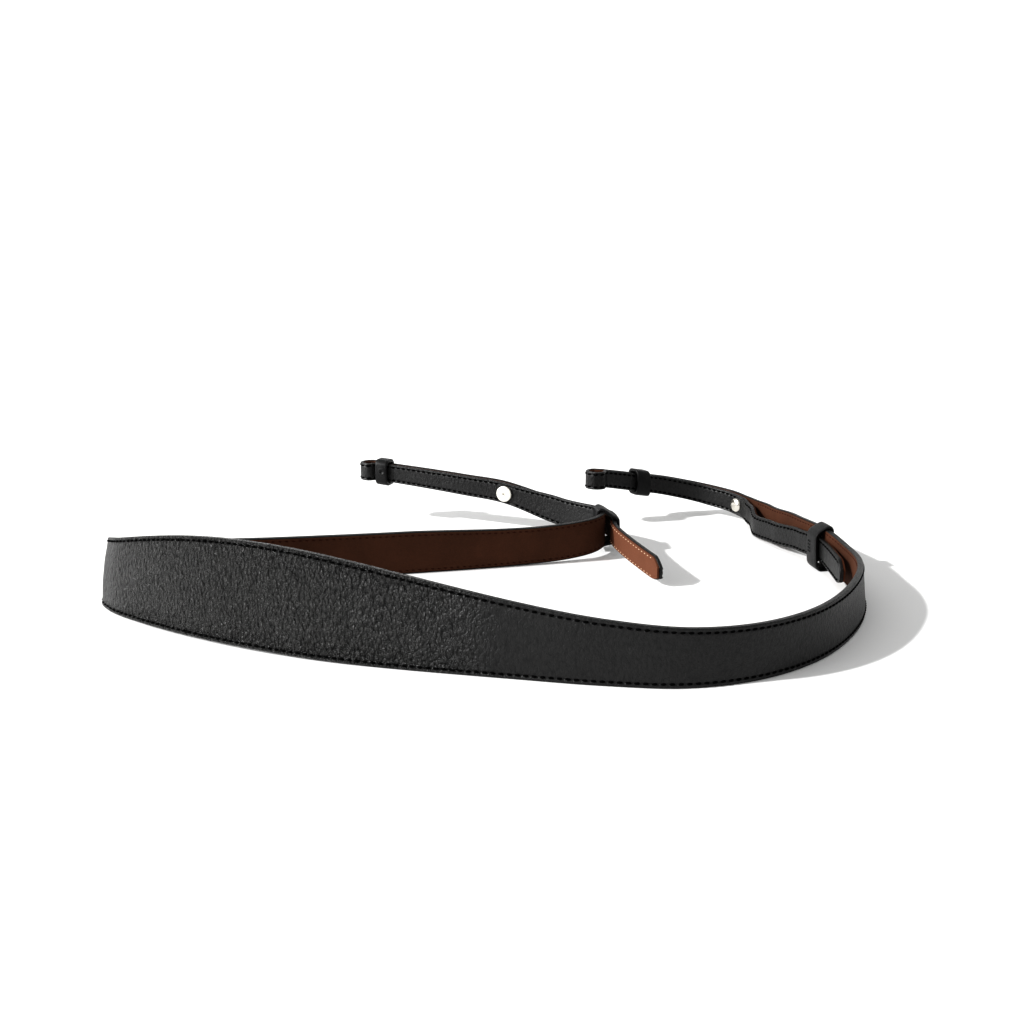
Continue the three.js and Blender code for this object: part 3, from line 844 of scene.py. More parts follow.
def places_of(piece: bpy.types.Object) -> np.ndarray:
    """The places of a mesh's vertices, one a row."""
    flat = np.empty(3 * len(piece.data.vertices), np.float32)
    piece.data.vertices.foreach_get("co", flat)
    return flat.reshape(-1, 3).astype(float)


def move_to(piece: bpy.types.Object, points: np.ndarray) -> None:
    """Moves a mesh's vertices."""
    piece.data.vertices.foreach_set("co", points.astype(np.float32).ravel())
    piece.data.update()


def apply_modifier(piece: bpy.types.Object, kind: str, **settings: object) -> None:
    """Adds a modifier and applies it.

    Args:
        piece: The piece that gets it.
        kind: The modifier's type.
        settings: Its settings.
    """
    select_only(piece)
    modifier = piece.modifiers.new(kind.title(), kind)
    for key, value in settings.items():
        setattr(modifier, key, value)
    bpy.ops.object.modifier_apply(modifier=modifier.name)


def smooth_shaded(piece: bpy.types.Object, angle: float = 40) -> None:
    """Shades a piece smooth, but for edges sharper than the angle in degrees."""
    select_only(piece)
    bpy.ops.object.shade_smooth_by_angle(angle=math.radians(angle))


def number_round(sine: np.ndarray, cosine: np.ndarray, count: int) -> np.ndarray:
    """Numbers of the points that stand evenly round a circle, from their headings."""
    return np.rint(np.arctan2(sine, cosine) / (2 * math.pi) * count).astype(int) % count


def dress(piece: bpy.types.Object, *materials: bpy.types.Material) -> None:
    """Gives a piece its materials, in the order of its faces' numbers."""
    piece.data.materials.clear()
    for material in materials:
        piece.data.materials.append(material)


def report(piece: bpy.types.Object) -> None:
    """Logs a finished piece."""
    log.info("%s: %d faces", piece.name, len(piece.data.polygons))


@dataclass
class Layer:
    """One layer of the strap, made as a grid that is rolled round its section and laid along the line."""

    name: str
    nodes: tuple[str, ...]
    slot: Slot
    start: float
    end: float
    step: float

    def section(self, line: StrapLine, distance: np.ndarray, frames: Frames) -> tuple[np.ndarray, ...]:
        """Heights and depths round the section, and the finish number of each stretch of it."""
        raise NotImplementedError

    def share(self, line: StrapLine, distance: np.ndarray, frames: Frames) -> np.ndarray:
        """The share, from 0 to 1, that the material is given for each place."""
        return frames.puff

    def build(self, line: StrapLine) -> bpy.types.Object:
        """Builds the layer's mesh.

        Args:
            line: The line that it is laid along.

        Returns:
            The closed mesh, in place.
        """
        count = max(2, round((self.end - self.start) / self.step))
        distance = np.linspace(self.start, self.end, count + 1)
        frames = line.at(distance)
        height, depth, finish = self.section(line, distance, frames)
        around = height.shape[1]
        nothing_selected()
        bpy.ops.mesh.primitive_grid_add(x_subdivisions=count, y_subdivisions=around, size=2)
        piece = fresh(self.name)
        grid = (places_of(piece) + 1) / 2
        column = np.rint(grid[:, 0] * count).astype(int)
        row = np.rint(grid[:, 1] * around).astype(int)
        wrapped = row % around
        flat = np.stack([distance[column], height[column, wrapped], depth[column, wrapped]], axis=1)
        move_to(piece, line.lay(flat))
        corners = np.empty(4 * len(piece.data.polygons), np.int32)
        piece.data.polygons.foreach_get("vertices", corners)
        number = finish[row[corners.reshape(-1, 4)].min(axis=1)]
        dress(piece, None, None)
        piece.data.polygons.foreach_set("material_index", number.astype(np.int32))
        # On the lining this share marks the tongues' painted sunlight; on the outer leather it is the share
        # of the pad.
        share = piece.data.attributes.new("share", "FLOAT", "POINT")
        share.data.foreach_set("value", self.share(line, distance, frames)[column].astype(np.float32))
        with editing(piece):
            bpy.ops.mesh.remove_doubles(threshold=MERGE_DISTANCE)
            bpy.ops.mesh.fill_holes(sides=0)
            bpy.ops.mesh.select_all(action="SELECT")
            bpy.ops.mesh.normals_make_consistent(inside=False)
        for polygon in piece.data.polygons[-2:]:
            polygon.material_index = int(finish[-1])
        smooth_shaded(piece, 50)
        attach(piece, "root")
        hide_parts(*self.nodes)
        return piece


PITCH = 3.0
END_SEAM = 1.35
ARM_SEAM = 1.6


def seam_inset(plan: Plan, width: np.ndarray) -> np.ndarray:
    """Distance of the sewn rows from the edges at a width of the strap."""
    return END_SEAM + (ARM_SEAM - END_SEAM) * smooth(plan.end_width, plan.arm_width, width)


def over_face(
    width: np.ndarray, seam: np.ndarray, near_seam: tuple[float, ...], shares: np.ndarray,
) -> np.ndarray:
    """Distances from the lower edge at which a face's section has its points.

    Args:
        width: The strap's widths.
        seam: The sewn rows' distances from the edges.
        near_seam: Distances from a sewn row, from the edge inwards, of the points near it.
        shares: Shares of what is left between the two rows' points, for the points there.

    Returns:
        A row of distances for each width.
    """
    lower = seam[:, None] + np.array(near_seam)
    free = (width - 2 * lower[:, -1])[:, None]
    middle = lower[:, -1:] + free * shares
    return np.concatenate([lower, middle, width[:, None] - lower[:, ::-1]], axis=1)


def ridge(away: np.ndarray, half: float) -> np.ndarray:
    """A round ridge that is 1 at its middle and fades over about half its width."""
    return np.exp(-((away / half) ** 2))


def pulled(distance: np.ndarray, give: float) -> np.ndarray:
    """How hard the thread pulls the leather in: 1 at each hole, and less by twice the give under a stitch."""
    return (1 - give * (1 - np.cos(2 * math.pi * distance / PITCH)))[:, None]


@dataclass
class OuterLayer(Layer):
    """Black leather with rounded, painted edges that cover the lining's edges."""

    face_points: int = 24
    wall_points: int = 6
    near_seam: tuple[float, ...] = (-0.75, -0.5, -0.3, -0.12, 0, 0.12, 0.3, 0.6, 1.1)
    crowding: float = 0.35
    crown_start: float = 0.3
    crown_reach: float = 9
    edge_round: float = 0.5
    rim_round: float = 0.3
    groove: float = 0.34
    groove_half: float = 0.36
    give: float = 0.28
    welt: float = 0.08
    welt_half: float = 0.3
    welt_place: float = 0.75
    lip: float = 0.95
    lip_height: float = 0.38

    def section(self, line: StrapLine, distance: np.ndarray, frames: Frames) -> tuple[np.ndarray, ...]:
        """Heights and depths round the section, and the finish number of each stretch of it."""
        plan = line.plan
        seam = seam_inset(plan, frames.width)
        even = np.linspace(0, 1, self.face_points + 2)[1:-1]
        shares = even + self.crowding * ((1 - np.cos(math.pi * even)) / 2 - even)
        from_edge = over_face(frames.width, seam, self.near_seam, shares)
        past_seam = np.minimum(from_edge, frames.width[:, None] - from_edge) - seam[:, None]
        rise = smooth(0, 1, (past_seam - self.crown_start) / self.crown_reach)
        crown = plan.pad_puff * frames.puff[:, None] * rise
        groove = self.groove * ridge(past_seam, self.groove_half) * pulled(distance, self.give)
        welt = self.welt * ridge(past_seam + self.welt_place, self.welt_half)
        face_depth = plan.near - crown + groove - welt
        quarter = np.radians([0, 30, 60, 90])
        corner_height = self.edge_round * (1 - np.sin(quarter))
        corner_depth = plan.near + self.edge_round * (1 - np.cos(quarter))
        rim_height = np.array([*(self.rim_round * (1 - np.cos(quarter))), self.lip_height])
        rim_depth = np.array([*(self.lip - self.rim_round * (1 - np.sin(quarter))), self.lip])
        lower_height = np.concatenate([corner_height, rim_height])
        lower_depth = np.concatenate([corner_depth, rim_depth])
        at_tip = np.minimum(distance, line.total - distance) < self.lip_height
        inside = np.where(at_tip, self.lip - 0.02, -plan.layer_gap / 2)
        wall = np.linspace(0, 1, self.wall_points)
        width = frames.width[:, None]
        wall_height = self.lip_height + (width - 2 * self.lip_height) * wall
        ones = np.ones((len(distance), 1))
        height = (from_edge[:, ::-1], ones * lower_height, wall_height, width - lower_height[::-1])
        wall_depth = inside[:, None] * np.ones(self.wall_points)
        depth = (face_depth[:, ::-1], ones * lower_depth, wall_depth, ones * lower_depth[::-1])
        height, depth = (np.concatenate(stretches, axis=1) for stretches in (height, depth))
        painted = height.shape[1] - from_edge.shape[1] - 1
        finish = np.array([0] * from_edge.shape[1] + [1] * painted + [0])
        return height - width / 2, depth, finish


@dataclass
class LiningLayer(Layer):
    """Brown lining that lies in the outer leather, all along the strap."""

    face_points: int = 14
    near_seam: tuple[float, ...] = (-0.7, -0.3, -0.12, 0, 0.12, 0.3, 0.7)
    inset: float = 0.46
    groove: float = 0.16
    groove_half: float = 0.33
    give: float = 0.3
    rim_heights: tuple[float, ...] = (0.02, 0, 0, 0.08, 0.25)

    def share(self, line: StrapLine, distance: np.ndarray, frames: Frames) -> np.ndarray:
        """The share of painted sunlight in each place: 1 on the tongues, which are painted paler, and 0 on
        the rest of the lining.
        """
        tongues = line.plan.tongue_length
        tongue_lengths_from_tip = np.minimum(distance / tongues[Side.LEFT], (line.total - distance) / tongues[Side.RIGHT])
        return 1 - smooth(0.85, 1.1, tongue_lengths_from_tip)

    def section(self, line: StrapLine, distance: np.ndarray, frames: Frames) -> tuple[np.ndarray, ...]:
        """Heights and depths round the section, and the finish number of each stretch of it."""
        plan = line.plan
        width = frames.width[:, None]
        seam = seam_inset(plan, frames.width)
        shares = np.linspace(0, 1, self.face_points + 2)[1:-1]
        from_edge = over_face(frames.width, seam, self.near_seam, shares)
        past_seam = np.minimum(from_edge, width - from_edge) - seam[:, None]
        groove = self.groove * ridge(past_seam, self.groove_half) * pulled(distance, self.give)
        inner = plan.layer_gap / 2
        outer = inner + plan.lining
        ones = np.ones((len(distance), 1))
        rim_height = ones * (self.inset + np.array(self.rim_heights))
        rim_depth = ones * np.array([inner, inner + 0.05, outer - 0.28, outer - 0.08, outer])
        height = np.concatenate([rim_height, from_edge, width - rim_height[:, ::-1]], axis=1)
        depth = np.concatenate([rim_depth, outer - groove, rim_depth[:, ::-1]], axis=1)
        return height - width / 2, depth, np.zeros(height.shape[1], int)


@dataclass
class Sewing:
    """Rows of stitches along both edges of one face of the strap."""

    name: str
    face: Face
    slot: Slot
    stretches: tuple[tuple[float, float], ...]
    gaps: tuple[float, ...] = ()
    length: float = 2
    thickness: float = 0.88
    slant: float = 7
    dip: float = 0.3
    gap_reach: float = 4.8
    rise: dict[Face, float] = field(default_factory=lambda: {Face.OUTER: 0.06, Face.LINING: -0.08})

    def stitch(self) -> tuple[np.ndarray, list[tuple[int, ...]]]:
        """One stitch, as vertices along the strap and faces."""
        nothing_selected()
        bpy.ops.mesh.primitive_uv_sphere_add(segments=8, ring_count=7, radius=0.5)
        ball = fresh("stitch")
        round_shape = places_of(ball)[:, [2, 0, 1]]
        faces = [tuple(polygon.vertices) for polygon in ball.data.polygons]
        bpy.ops.object.delete()
        along = np.sign(round_shape[:, 0]) * np.abs(2 * round_shape[:, 0]) ** 0.8 * self.length / 2
        dip = self.dip * np.abs(2 * along / self.length) ** 4
        turn = math.radians(self.slant)
        across = round_shape[:, 1] * self.thickness
        points = np.stack([
            along * math.cos(turn) - across * math.sin(turn),
            along * math.sin(turn) + across * math.cos(turn),
            round_shape[:, 2] * self.thickness - self.face.value * dip,
        ], axis=1)
        return points, faces

    def build(self, line: StrapLine) -> bpy.types.Object:
        """Builds all stitches of the face as one mesh.

        Args:
            line: The line that they are laid along.

        Returns:
            The mesh, in place.
        """
        plan = line.plan
        numbers = [
            np.arange(math.ceil(low / PITCH), math.floor(high / PITCH)) for low, high in self.stretches
        ]
        centres = (np.concatenate(numbers) + 0.5) * PITCH
        for gap in self.gaps:
            centres = centres[np.abs(centres - gap) > self.gap_reach]
        width = line.at(centres).width
        surface = plan.near if self.face is Face.OUTER else plan.layer_gap / 2 + plan.lining
        depth = np.full(len(centres), surface + self.rise[self.face])
        from_middle = width / 2 - seam_inset(plan, width)
        rows = [np.stack([centres, edge * from_middle, depth], axis=1) for edge in (-1, 1)]
        return self.sewn(line, np.concatenate(rows))

    def sewn(self, line: StrapLine, centre: np.ndarray, upright: bool = False) -> bpy.types.Object:
        """Sets a stitch on each place and joins them all in one mesh.

        Args:
            line: The line that they are laid along.
            centre: Rows of distance, height and depth.
            upright: Whether the stitches stand upright instead of lying along the strap.

        Returns:
            The mesh, in place.
        """
        points, faces = self.stitch()
        if upright:
            points = points[:, [1, 0, 2]]
        flat = (centre[:, None, :] + points[None, :, :]).reshape(-1, 3)
        mesh = bpy.data.meshes.new(self.name)
        copies = np.arange(len(centre)) * len(points)
        all_faces = [tuple(i + first for i in face) for first in copies.tolist() for face in faces]
        mesh.from_pydata(line.lay(flat), [], all_faces)
        piece = bpy.data.objects.new(self.name, mesh)
        bpy.context.scene.collection.objects.link(piece)
        with editing(piece):
            bpy.ops.mesh.normals_make_consistent(inside=False)
        smooth_shaded(piece, 80)
        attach(piece, "root")
        return piece


def rounded_loop(
    low: tuple[float, float], high: tuple[float, float], radii: tuple[float, float], count: int,
) -> np.ndarray:
    """A rounded rectangle as evenly spaced points with their outward directions.

    Args:
        low: The lowest height and depth.
        high: The highest height and depth.
        radii: The radius of the corners at the lowest depth, and of those at the highest.
        count: The number of points.

    Returns:
        Rows of height, depth and the two parts of the outward direction.
    """
    corners = [(high[0], high[1], 0), (low[0], high[1], 90), (low[0], low[1], 180), (high[0], low[1], 270)]
    rows = []
    for height, depth, start in corners:
        radius = radii[1] if depth == high[1] else radii[0]
        x = height - radius if height == high[0] else height + radius
        y = depth - radius if depth == high[1] else depth + radius
        for angle in np.radians(np.linspace(start, start + 90, 25)):
            outward = (math.cos(angle), math.sin(angle))
            rows.append((x + radius * outward[0], y + radius * outward[1], *outward))
    rows.append(rows[0])
    loop = np.array(rows)
    length = np.concatenate([[0], np.cumsum(np.linalg.norm(np.diff(loop[:, :2], axis=0), axis=1))])
    wanted = np.arange(count) / count * length[-1]
    even = np.stack([np.interp(wanted, length, loop[:, i]) for i in range(4)], axis=1)
    even[:, 2:] = unit(even[:, 2:])
    return even


@dataclass
class Keeper:
    """A leather band that holds the layers of an end together."""

    name: str
    node: str
    centre: float
    length: float
    wall: float
    slack: float = 0
    squeeze: tuple[float, float] = (0, 0)
    clearance: float = 0.4
    inner_round: tuple[float, float] = (1.2, 1.2)
    lip_round: float = 0.5
    bow: float = 0.3
    around: int = 128
    profile: int = 32
    crown: float = 0.1
    squeeze_start: float = 1.2
    squeeze_curves: tuple[float, float] = (1.5, 0.7)
    dimple: tuple[float, float, int] | None = None
    dimple_depth: float = 0.55
    dimple_radius: float = 1.05
    dimple_flat: float = 0.35
    dimple_rim: float = 0.16
    dimple_rim_half: float = 0.4
    dimple_rim_place: float = 1.5

    def build(self, line: StrapLine) -> bpy.types.Object:
        """Builds the band as a ring that is fitted to the strap's section.

        Args:
            line: The line that the strap is laid along.

        Returns:
            The closed mesh, in place.
        """
        nothing_selected()
        bpy.ops.mesh.primitive_torus_add(
            major_segments=self.around, minor_segments=self.profile, major_radius=1, minor_radius=0.25,
        )
        piece = fresh(self.name)
        ring = places_of(piece)
        major = number_round(ring[:, 1], ring[:, 0], self.around)
        out = np.hypot(ring[:, 0], ring[:, 1]) - 1
        minor = number_round(ring[:, 2], out, self.profile)
        lips = (self.lip_round, self.lip_round)
        band = rounded_loop((-self.length / 2, 0), (self.length / 2, self.wall), lips, self.profile)
        along, thick = band[minor, 0], band[minor, 1]
        frames = line.at(self.centre + along)
        plan = line.plan
        half = frames.width / 2 + self.clearance
        middle_half = float(line.at(np.array([self.centre])).width[0]) / 2 + self.clearance
        far = plan.far + self.slack + self.clearance
        loop = rounded_loop(
            (-middle_half, plan.near - self.clearance), (middle_half, far), self.inner_round, self.around,
        )[major]
        reach = plan.tail_offset + self.slack + self.squeeze_start
        outwards = np.clip((loop[:, 1] + self.squeeze_start) / reach, 0, 1)
        top, bottom = (most * outwards ** curve for most, curve in zip(self.squeeze, self.squeeze_curves))
        squeeze = np.where(loop[:, 0] > 0, top, bottom) / middle_half
        height = loop[:, 0] * (half / middle_half - squeeze) + loop[:, 2] * thick
        bowed = self.bow * (1 - (loop[:, 0] / middle_half) ** 2) * np.abs(loop[:, 3])
        crowned = thick * self.crown * np.cos(math.pi * along / self.length)
        depth = loop[:, 1] + loop[:, 3] * (thick + bowed + crowned)
        if self.dimple:
            dimple_along, dimple_height, dimple_side = self.dimple
            away = np.hypot(along - dimple_along, height - dimple_height)
            outer = (thick > self.wall * 0.6) & (loop[:, 3] * dimple_side > 0.5)
            dent = self.dimple_depth * (1 - smooth(self.dimple_flat, 1, away / self.dimple_radius))
            past_rim = away - self.dimple_rim_place * self.dimple_radius
            rim = self.dimple_rim * ridge(past_rim, self.dimple_rim_half)
            depth -= np.where(outer, dimple_side * (dent - rim), 0)
        move_to(piece, line.lay(np.stack([self.centre + along, height, depth], axis=1)))
        with editing(piece):
            bpy.ops.mesh.normals_make_consistent(inside=False)
        smooth_shaded(piece, 60)
        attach(piece, "root")
        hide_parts(self.node)
        return piece


@dataclass
class Stud:
    """A two-part stud: a domed cap on the tail and a flat slotted head on the main layer."""

    side: Side
    cap_radius: float = 3.8
    cap_rise: float = 1.7
    cap_rim: float = 0.35
    cap_bevel: float = 0.12
    head_radius: float = 4.15
    head_thickness: float = 1.15
    head_bevel: float = 0.32
    recess: tuple[float, float, float] = (1.6, 0.45, 0.5)
    lift: float = 0.06

    def seat(self, line: StrapLine, depth: float, facing: int) -> Matrix:
        """Where a part of the stud sits.

        Args:
            line: The line that the strap is laid along.
            depth: Depth of the leather's face that it sits on.
            facing: 1 to face the tail's side, -1 to face the main layer's.

        Returns:
            The matrix from millimetres round the stud to metres in the row's frame.
        """
        middle = line.places[f"{self.side.word}_stud"]
        reach = line.plan.stud_seat / 2
        ends = line.main_frames(np.array([middle - reach, middle + reach])).middle
        along = unit((ends[1] - ends[0]) * (1, 1, 0))
        brown = np.cross(UP, along)
        place = line.seat(ends.mean(axis=0) + brown * (depth + facing * self.lift))
        turn = np.stack([UP, along * facing, brown * facing], axis=1) * MM
        return Matrix.Translation(Vector(place.tolist())) @ Matrix(turn.tolist()).to_4x4()

    def cap(self, line: StrapLine) -> bpy.types.Object:
        """Builds the domed cap."""
        nothing_selected()
        bpy.ops.mesh.primitive_uv_sphere_add(segments=56, ring_count=28, radius=1)
        piece = fresh(f"stud_cap_dome_{self.side.word}")
        with editing(piece):
            bpy.ops.mesh.bisect(plane_co=(0, 0, 0), plane_no=(0, 0, 1), use_fill=True, clear_inner=True)
            bpy.ops.mesh.select_all(action="SELECT")
            bpy.ops.transform.resize(value=(self.cap_radius, self.cap_radius, self.cap_rise))
            bpy.ops.transform.translate(value=(0, 0, self.cap_rim))
        self._grow_rim(piece)
        self._round_edges(piece, self.cap_bevel, 3, 50)
        return self._finished(piece, self.seat(line, line.plan.far, 1), f"stud_cap_{self.side.word}")

    @staticmethod
    def _round_edges(piece: bpy.types.Object, width: float, segments: int, angle: float) -> None:
        """Rounds the edges that are sharper than the angle in degrees."""
        limit = math.radians(angle)
        apply_modifier(
            piece, "BEVEL", width=width, segments=segments, limit_method="ANGLE", angle_limit=limit,
        )

    def _grow_rim(self, piece: bpy.types.Object) -> None:
        """Extrudes the cap's flat base down to its seat."""
        with editing(piece):
            bpy.ops.mesh.select_all(action="DESELECT")
            bpy.ops.object.mode_set(mode="OBJECT")
            for polygon in piece.data.polygons:
                polygon.select = polygon.normal.z < -0.9
            bpy.ops.object.mode_set(mode="EDIT")
            bpy.ops.mesh.extrude_region_move(TRANSFORM_OT_translate={"value": (0, 0, -self.cap_rim)})

    def head(self, line: StrapLine) -> bpy.types.Object:
        """Builds the flat head with its cross recess."""
        nothing_selected()
        middle = self.head_thickness / 2
        bpy.ops.mesh.primitive_cylinder_add(
            vertices=72, radius=self.head_radius, depth=self.head_thickness, location=(0, 0, middle),
        )
        piece = fresh(f"stud_head_{self.side.word}")
        bpy.ops.object.transform_apply(location=True, rotation=True, scale=True)
        self._round_edges(piece, self.head_bevel, 4, 60)
        span, width, depth = self.recess
        for turn in (45, 135):
            nothing_selected()
            bpy.ops.mesh.primitive_cube_add(
                size=1, location=(0, 0, self.head_thickness), rotation=(0, 0, math.radians(turn)),
                scale=(span, width, 2 * depth),
            )
            cutter = fresh("recess_cutter")
            apply_modifier(piece, "BOOLEAN", object=cutter, operation="DIFFERENCE", solver="EXACT")
            bpy.data.objects.remove(cutter)
        return self._finished(piece, self.seat(line, line.plan.near, -1), f"stud_screw_{self.side.word}")

    @staticmethod
    def _finished(piece: bpy.types.Object, matrix: Matrix, node: str) -> bpy.types.Object:
        """Sets a part of the stud on its seat."""
        piece.data.transform(matrix)
        with editing(piece):
            bpy.ops.mesh.normals_make_consistent(inside=False)
        smooth_shaded(piece, 35)
        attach(piece, "root")
        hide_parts(node)
        return piece


@dataclass
class Studio:
    """The pale floor, the soft lights and the camera."""

    floor_size: float = 8
    floor_behind: float = 3
    backdrop_height: float = 3
    backdrop_round: float = 1.2
    floor_colour: tuple[float, float, float] = (0.86, 0.86, 0.855)
    sky: float = 0.52
    key_heading: float = 14
    key_elevation: float = 31.5
    key_angle: float = 2.2
    key_strength: float = 3.1
    box_place: tuple[float, float, float] = (-1.25, -0.3, 0.36)
    box_size: tuple[float, float] = (1.1, 0.6)
    box_power: float = 9
    camera_place: tuple[float, float, float] = (0.01126, -0.49608, 0.1525)
    camera_pitch: float = 13.7
    lens: float = 40
    look: str = "High Contrast"

    def build(self) -> None:
        """Builds the studio."""
        self._floor()
        self._light()
        self._camera()

    def _floor(self) -> None:
        """The floor that the strap stands on, swept up behind it."""
        nothing_selected()
        middle = self.floor_behind - self.floor_size / 2
        bpy.ops.mesh.primitive_plane_add(size=self.floor_size, location=(0, middle, -0.0001))
        floor = fresh("floor")
        bpy.ops.object.transform_apply(location=True, rotation=True, scale=True)
        with editing(floor):
            self._select_edge(floor, self.floor_behind)
            bpy.ops.mesh.extrude_region_move(TRANSFORM_OT_translate={"value": (0, 0, self.backdrop_height)})
        with editing(floor):
            self._select_edge(floor, self.floor_behind, 0.0)
            bpy.ops.mesh.bevel(offset=self.backdrop_round, segments=24, profile=0.5)
        smooth_shaded(floor, 60)
        bench = Bench("floor_paper")
        speck = bench.noise(bench.place(), 0.002, 2)
        tint = bench.blend(speck, self.floor_colour, tuple(0.985 * c for c in self.floor_colour))
        dress(floor, bench.finish({"Base Color": tint, "Roughness": 0.9}, speck, 0.00001))

    @staticmethod
    def _select_edge(floor: bpy.types.Object, behind: float, height: float | None = None) -> None:
        """Selects the floor's edge at a distance behind, and at a height where one is given."""
        bpy.ops.mesh.select_all(action="DESELECT")
        bpy.ops.object.mode_set(mode="OBJECT")
        points = places_of(floor)
        for edge in floor.data.edges:
            ends = points[list(edge.vertices)]
            level = height is None or np.all(np.abs(ends[:, 2] - height) < 0.01)
            edge.select = bool(np.all(np.abs(ends[:, 1] - behind) < 0.01) and level)
        bpy.ops.object.mode_set(mode="EDIT")
        bpy.ops.mesh.select_mode(type="EDGE")

    def _light(self) -> None:
        """A white surround, a key light from the left and a soft box below it."""
        world = bpy.data.worlds.new("surround")
        bpy.context.scene.world = world
        world.use_nodes = True
        world.node_tree.nodes["Background"].inputs["Color"].default_value = (1, 1, 1, 1)
        world.node_tree.nodes["Background"].inputs["Strength"].default_value = self.sky
        heading = math.radians(self.key_heading)
        rise = math.radians(self.key_elevation)
        level = math.cos(rise)
        travel = Vector((math.cos(heading) * level, math.sin(heading) * level, -math.sin(rise)))
        nothing_selected()
        bpy.ops.object.light_add(type="SUN", location=tuple(-2 * travel))
        key = bpy.context.object
        key.name = "key_light"
        key.rotation_euler = travel.to_track_quat("-Z", "Y").to_euler()
        key.data.energy = self.key_strength
        key.data.angle = math.radians(self.key_angle)
        nothing_selected()
        facing = Vector(self.box_place) * -1
        bpy.ops.object.light_add(type="AREA", location=self.box_place)
        box = bpy.context.object
        box.name = "soft_box"
        box.rotation_euler = facing.to_track_quat("-Z", "Y").to_euler()
        box.data.shape = "RECTANGLE"
        box.data.size, box.data.size_y = self.box_size
        box.data.energy = self.box_power

    def _camera(self) -> None:
        """The camera at the photographed angle."""
        nothing_selected()
        bpy.ops.object.camera_add(
            location=self.camera_place, rotation=(math.radians(90 - self.camera_pitch), 0, 0),
        )
        camera = bpy.context.object
        camera.name = "camera"
        camera.data.lens = self.lens
        camera.data.sensor_width = 36
        camera.data.clip_start = 0.01
        bpy.context.scene.camera = camera
        bpy.context.scene.view_settings.view_transform = "Standard"
        bpy.context.scene.view_settings.look = self.look


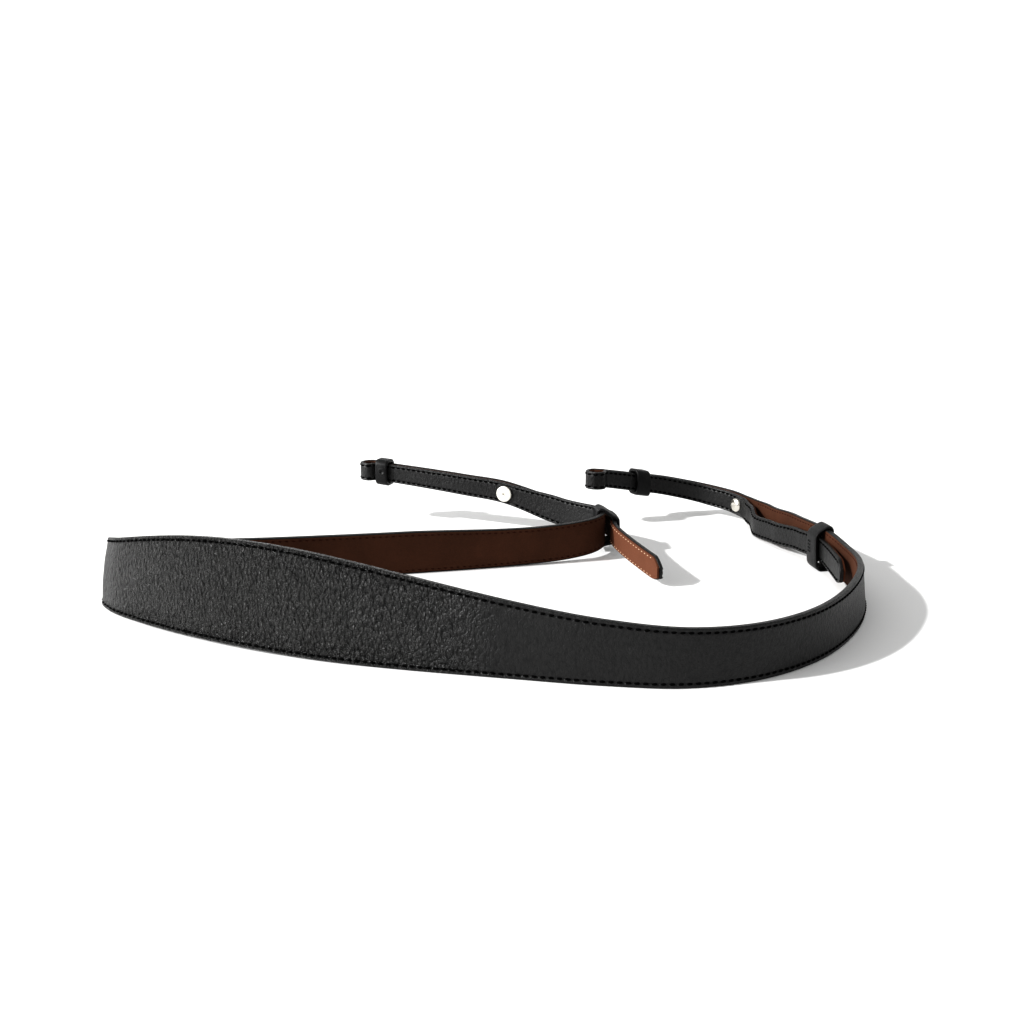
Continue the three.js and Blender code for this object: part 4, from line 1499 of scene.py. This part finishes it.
@dataclass
class CameraStrap:
    """The whole strap: layers, sewing, keepers and studs."""

    plan: Plan = field(default_factory=Plan)
    keeper_wall: float = 1.4
    keeper_round: tuple[float, float] = (1.2, 2.7)
    end_keeper_wall: float = 1.8
    leather_gap: float = 0.1
    lining_end: float = 0.45
    end_lip: float = 0.2
    first_stitch: float = 2.5
    seam_rows: tuple[float, ...] = (2.4, 4.2)
    seam_heights: tuple[float, ...] = (-2.3, -0.7, 0.9, 2.5)
    seam_rise: float = 0.4
    squeeze: dict[Side, tuple[float, float]] = field(
        default_factory=lambda: {Side.LEFT: (3.4, 2.3), Side.RIGHT: (1.6, -0.7)}
    )
    end_keeper_reach: dict[Side, float] = field(default_factory=lambda: {Side.LEFT: 3.6, Side.RIGHT: 24})
    end_keeper_length: dict[Side, float] = field(default_factory=lambda: {Side.LEFT: 7, Side.RIGHT: 8.5})

    def build(self) -> list[bpy.types.Object]:
        """Builds and dresses every piece.

        Returns:
            The pieces, in the order that they were made in.
        """
        line = StrapLine(self.plan)
        return [*self._layers(line), *self._sewing(line), *self._keepers(line), *self._studs(line)]

    def _layers(self, line: StrapLine) -> list[bpy.types.Object]:
        """The outer leather in three lengths, and the lining."""
        left, right = line.place("left_keeper"), line.place("right_keeper")
        grained, painted = GrainedLeather().make(), EDGE_PAINT.make()
        step = PITCH / 4
        slot = Slot.OUTER_LEATHER
        gap, lip = self.leather_gap, self.end_lip
        leathers = (
            OuterLayer("pad_and_arms_leather", ("strap_leather",), slot, left + gap, right - gap, step),
            OuterLayer("left_end_leather", ("end_leather_left",), slot, 0, left - gap, step, 8, lip=lip),
            OuterLayer("right_end_leather", ("end_leather_right",), slot, right + gap, line.total, step, 8,
                       lip=lip),
        )
        pieces = []
        for leather in leathers:
            piece = leather.build(line)
            dress(piece, grained, painted)
            pieces.append(piece)
        lining = LiningLayer(
            "lining_leather", ("strap_lining",), Slot.LINING_LEATHER,
            self.lining_end, line.total - self.lining_end, PITCH / 3,
        ).build(line)
        dress(lining, SplitLeather().make())
        return [*pieces, lining]

    def _sewing(self, line: StrapLine) -> list[bpy.types.Object]:
        """Black thread on the outer leather; on the lining one thread in two painted copies, dark brown in
        shade and tan on the sunlit tongues.
        """
        studs = [line.place(f"{side.word}_stud") for side in Side]
        tails = [self._tail_stud(line, side) for side in Side]
        left, right = line.place("left_keeper"), line.place("right_keeper")
        free = (self.plan.tongue_length[Side.LEFT], line.total - self.plan.tongue_length[Side.RIGHT])
        whole = (self.first_stitch, line.total - self.first_stitch)
        lining = Slot.LINING_LEATHER
        seen = ((left + 3, right + 78), (free[1] + 1, line.total - 4))
        sewings = (
            (Sewing("outer_stitches", Face.OUTER, Slot.OUTER_LEATHER, (whole,), (*studs, *tails)),
             WaxedThread()),
            (Sewing("lining_stitches", Face.LINING, lining, seen, length=1.7, thickness=0.6), SHADED_BROWN_THREAD),
            (Sewing("tongue_stitches", Face.LINING, lining, ((4, free[0] + 1),), length=1.2, thickness=0.5),
             SUNLIT_TAN_THREAD),
        )
        pieces = []
        for sewing, thread in sewings:
            piece = sewing.build(line)
            dress(piece, thread.make())
            pieces.append(piece)
        return [*pieces, self._keeper_seam(line)]

    def _keeper_seam(self, line: StrapLine) -> bpy.types.Object:
        """Two short upright rows of stitches that close the right band on the tail's side."""
        depth = self.plan.far + Keeper.clearance + self.keeper_wall + self.seam_rise
        edge = line.place("right_keeper") + self.plan.keeper_length / 2
        centre = [(edge - along, height, depth) for along in self.seam_rows for height in self.seam_heights]
        seam = Sewing("keeper_stitches", Face.LINING, Slot.KEEPER_LEATHER, (), length=1.15, thickness=0.5)
        piece = seam.sewn(line, np.array(centre), upright=True)
        dress(piece, WaxedThread().make())
        return piece

    def _tail_stud(self, line: StrapLine, side: Side) -> float:
        """Place on the line of the stud on the tail."""
        eye = line.place(f"{side.word}_eye")
        fold = line.fold_length[side]
        return eye - side.value * (fold + abs(line.place(f"{side.word}_stud") - eye))

    def _keepers(self, line: StrapLine) -> list[bpy.types.Object]:
        """The four bands."""
        smooth_leather = SmoothLeather().make()
        pieces = []
        for side in Side:
            word = side.word
            eye = 0.0 if side is Side.LEFT else line.main.total
            end = line.on_main(eye + side.value * self.end_keeper_reach[side])
            dimple = (0.6, 0.8, -1) if side is Side.LEFT else None
            slack = self.plan.tail_bulge * TAIL_BULGE_ROWS[side][-1][1]
            bands = (
                Keeper(f"keeper_band_{word}", f"keeper_{word}", line.place(f"{word}_keeper"),
                       self.plan.keeper_length, self.keeper_wall, slack, self.squeeze[side],
                       inner_round=self.keeper_round),
                Keeper(f"end_keeper_band_{word}", f"end_keeper_{word}", end,
                       self.end_keeper_length[side], self.end_keeper_wall, dimple=dimple),
            )
            for band in bands:
                piece = band.build(line)
                dress(piece, smooth_leather)
                pieces.append(piece)
        return pieces

    def _studs(self, line: StrapLine) -> list[bpy.types.Object]:
        """The caps and heads of both studs."""
        polished = PlatedMetal().make()
        matt = MATT_PLATE.make()
        pieces = []
        for side in Side:
            stud = Stud(side)
            for piece, metal in ((stud.cap(line), polished), (stud.head(line), matt)):
                dress(piece, metal)
                pieces.append(piece)
        return pieces


def main() -> None:
    """Builds the strap in its studio and logs how many faces each piece has."""
    logging.basicConfig(level=logging.INFO, format="%(name)s: %(message)s")
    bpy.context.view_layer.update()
    Studio().build()
    for piece in CameraStrap().build():
        report(piece)
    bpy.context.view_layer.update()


if __name__ == "__main__":
    main()
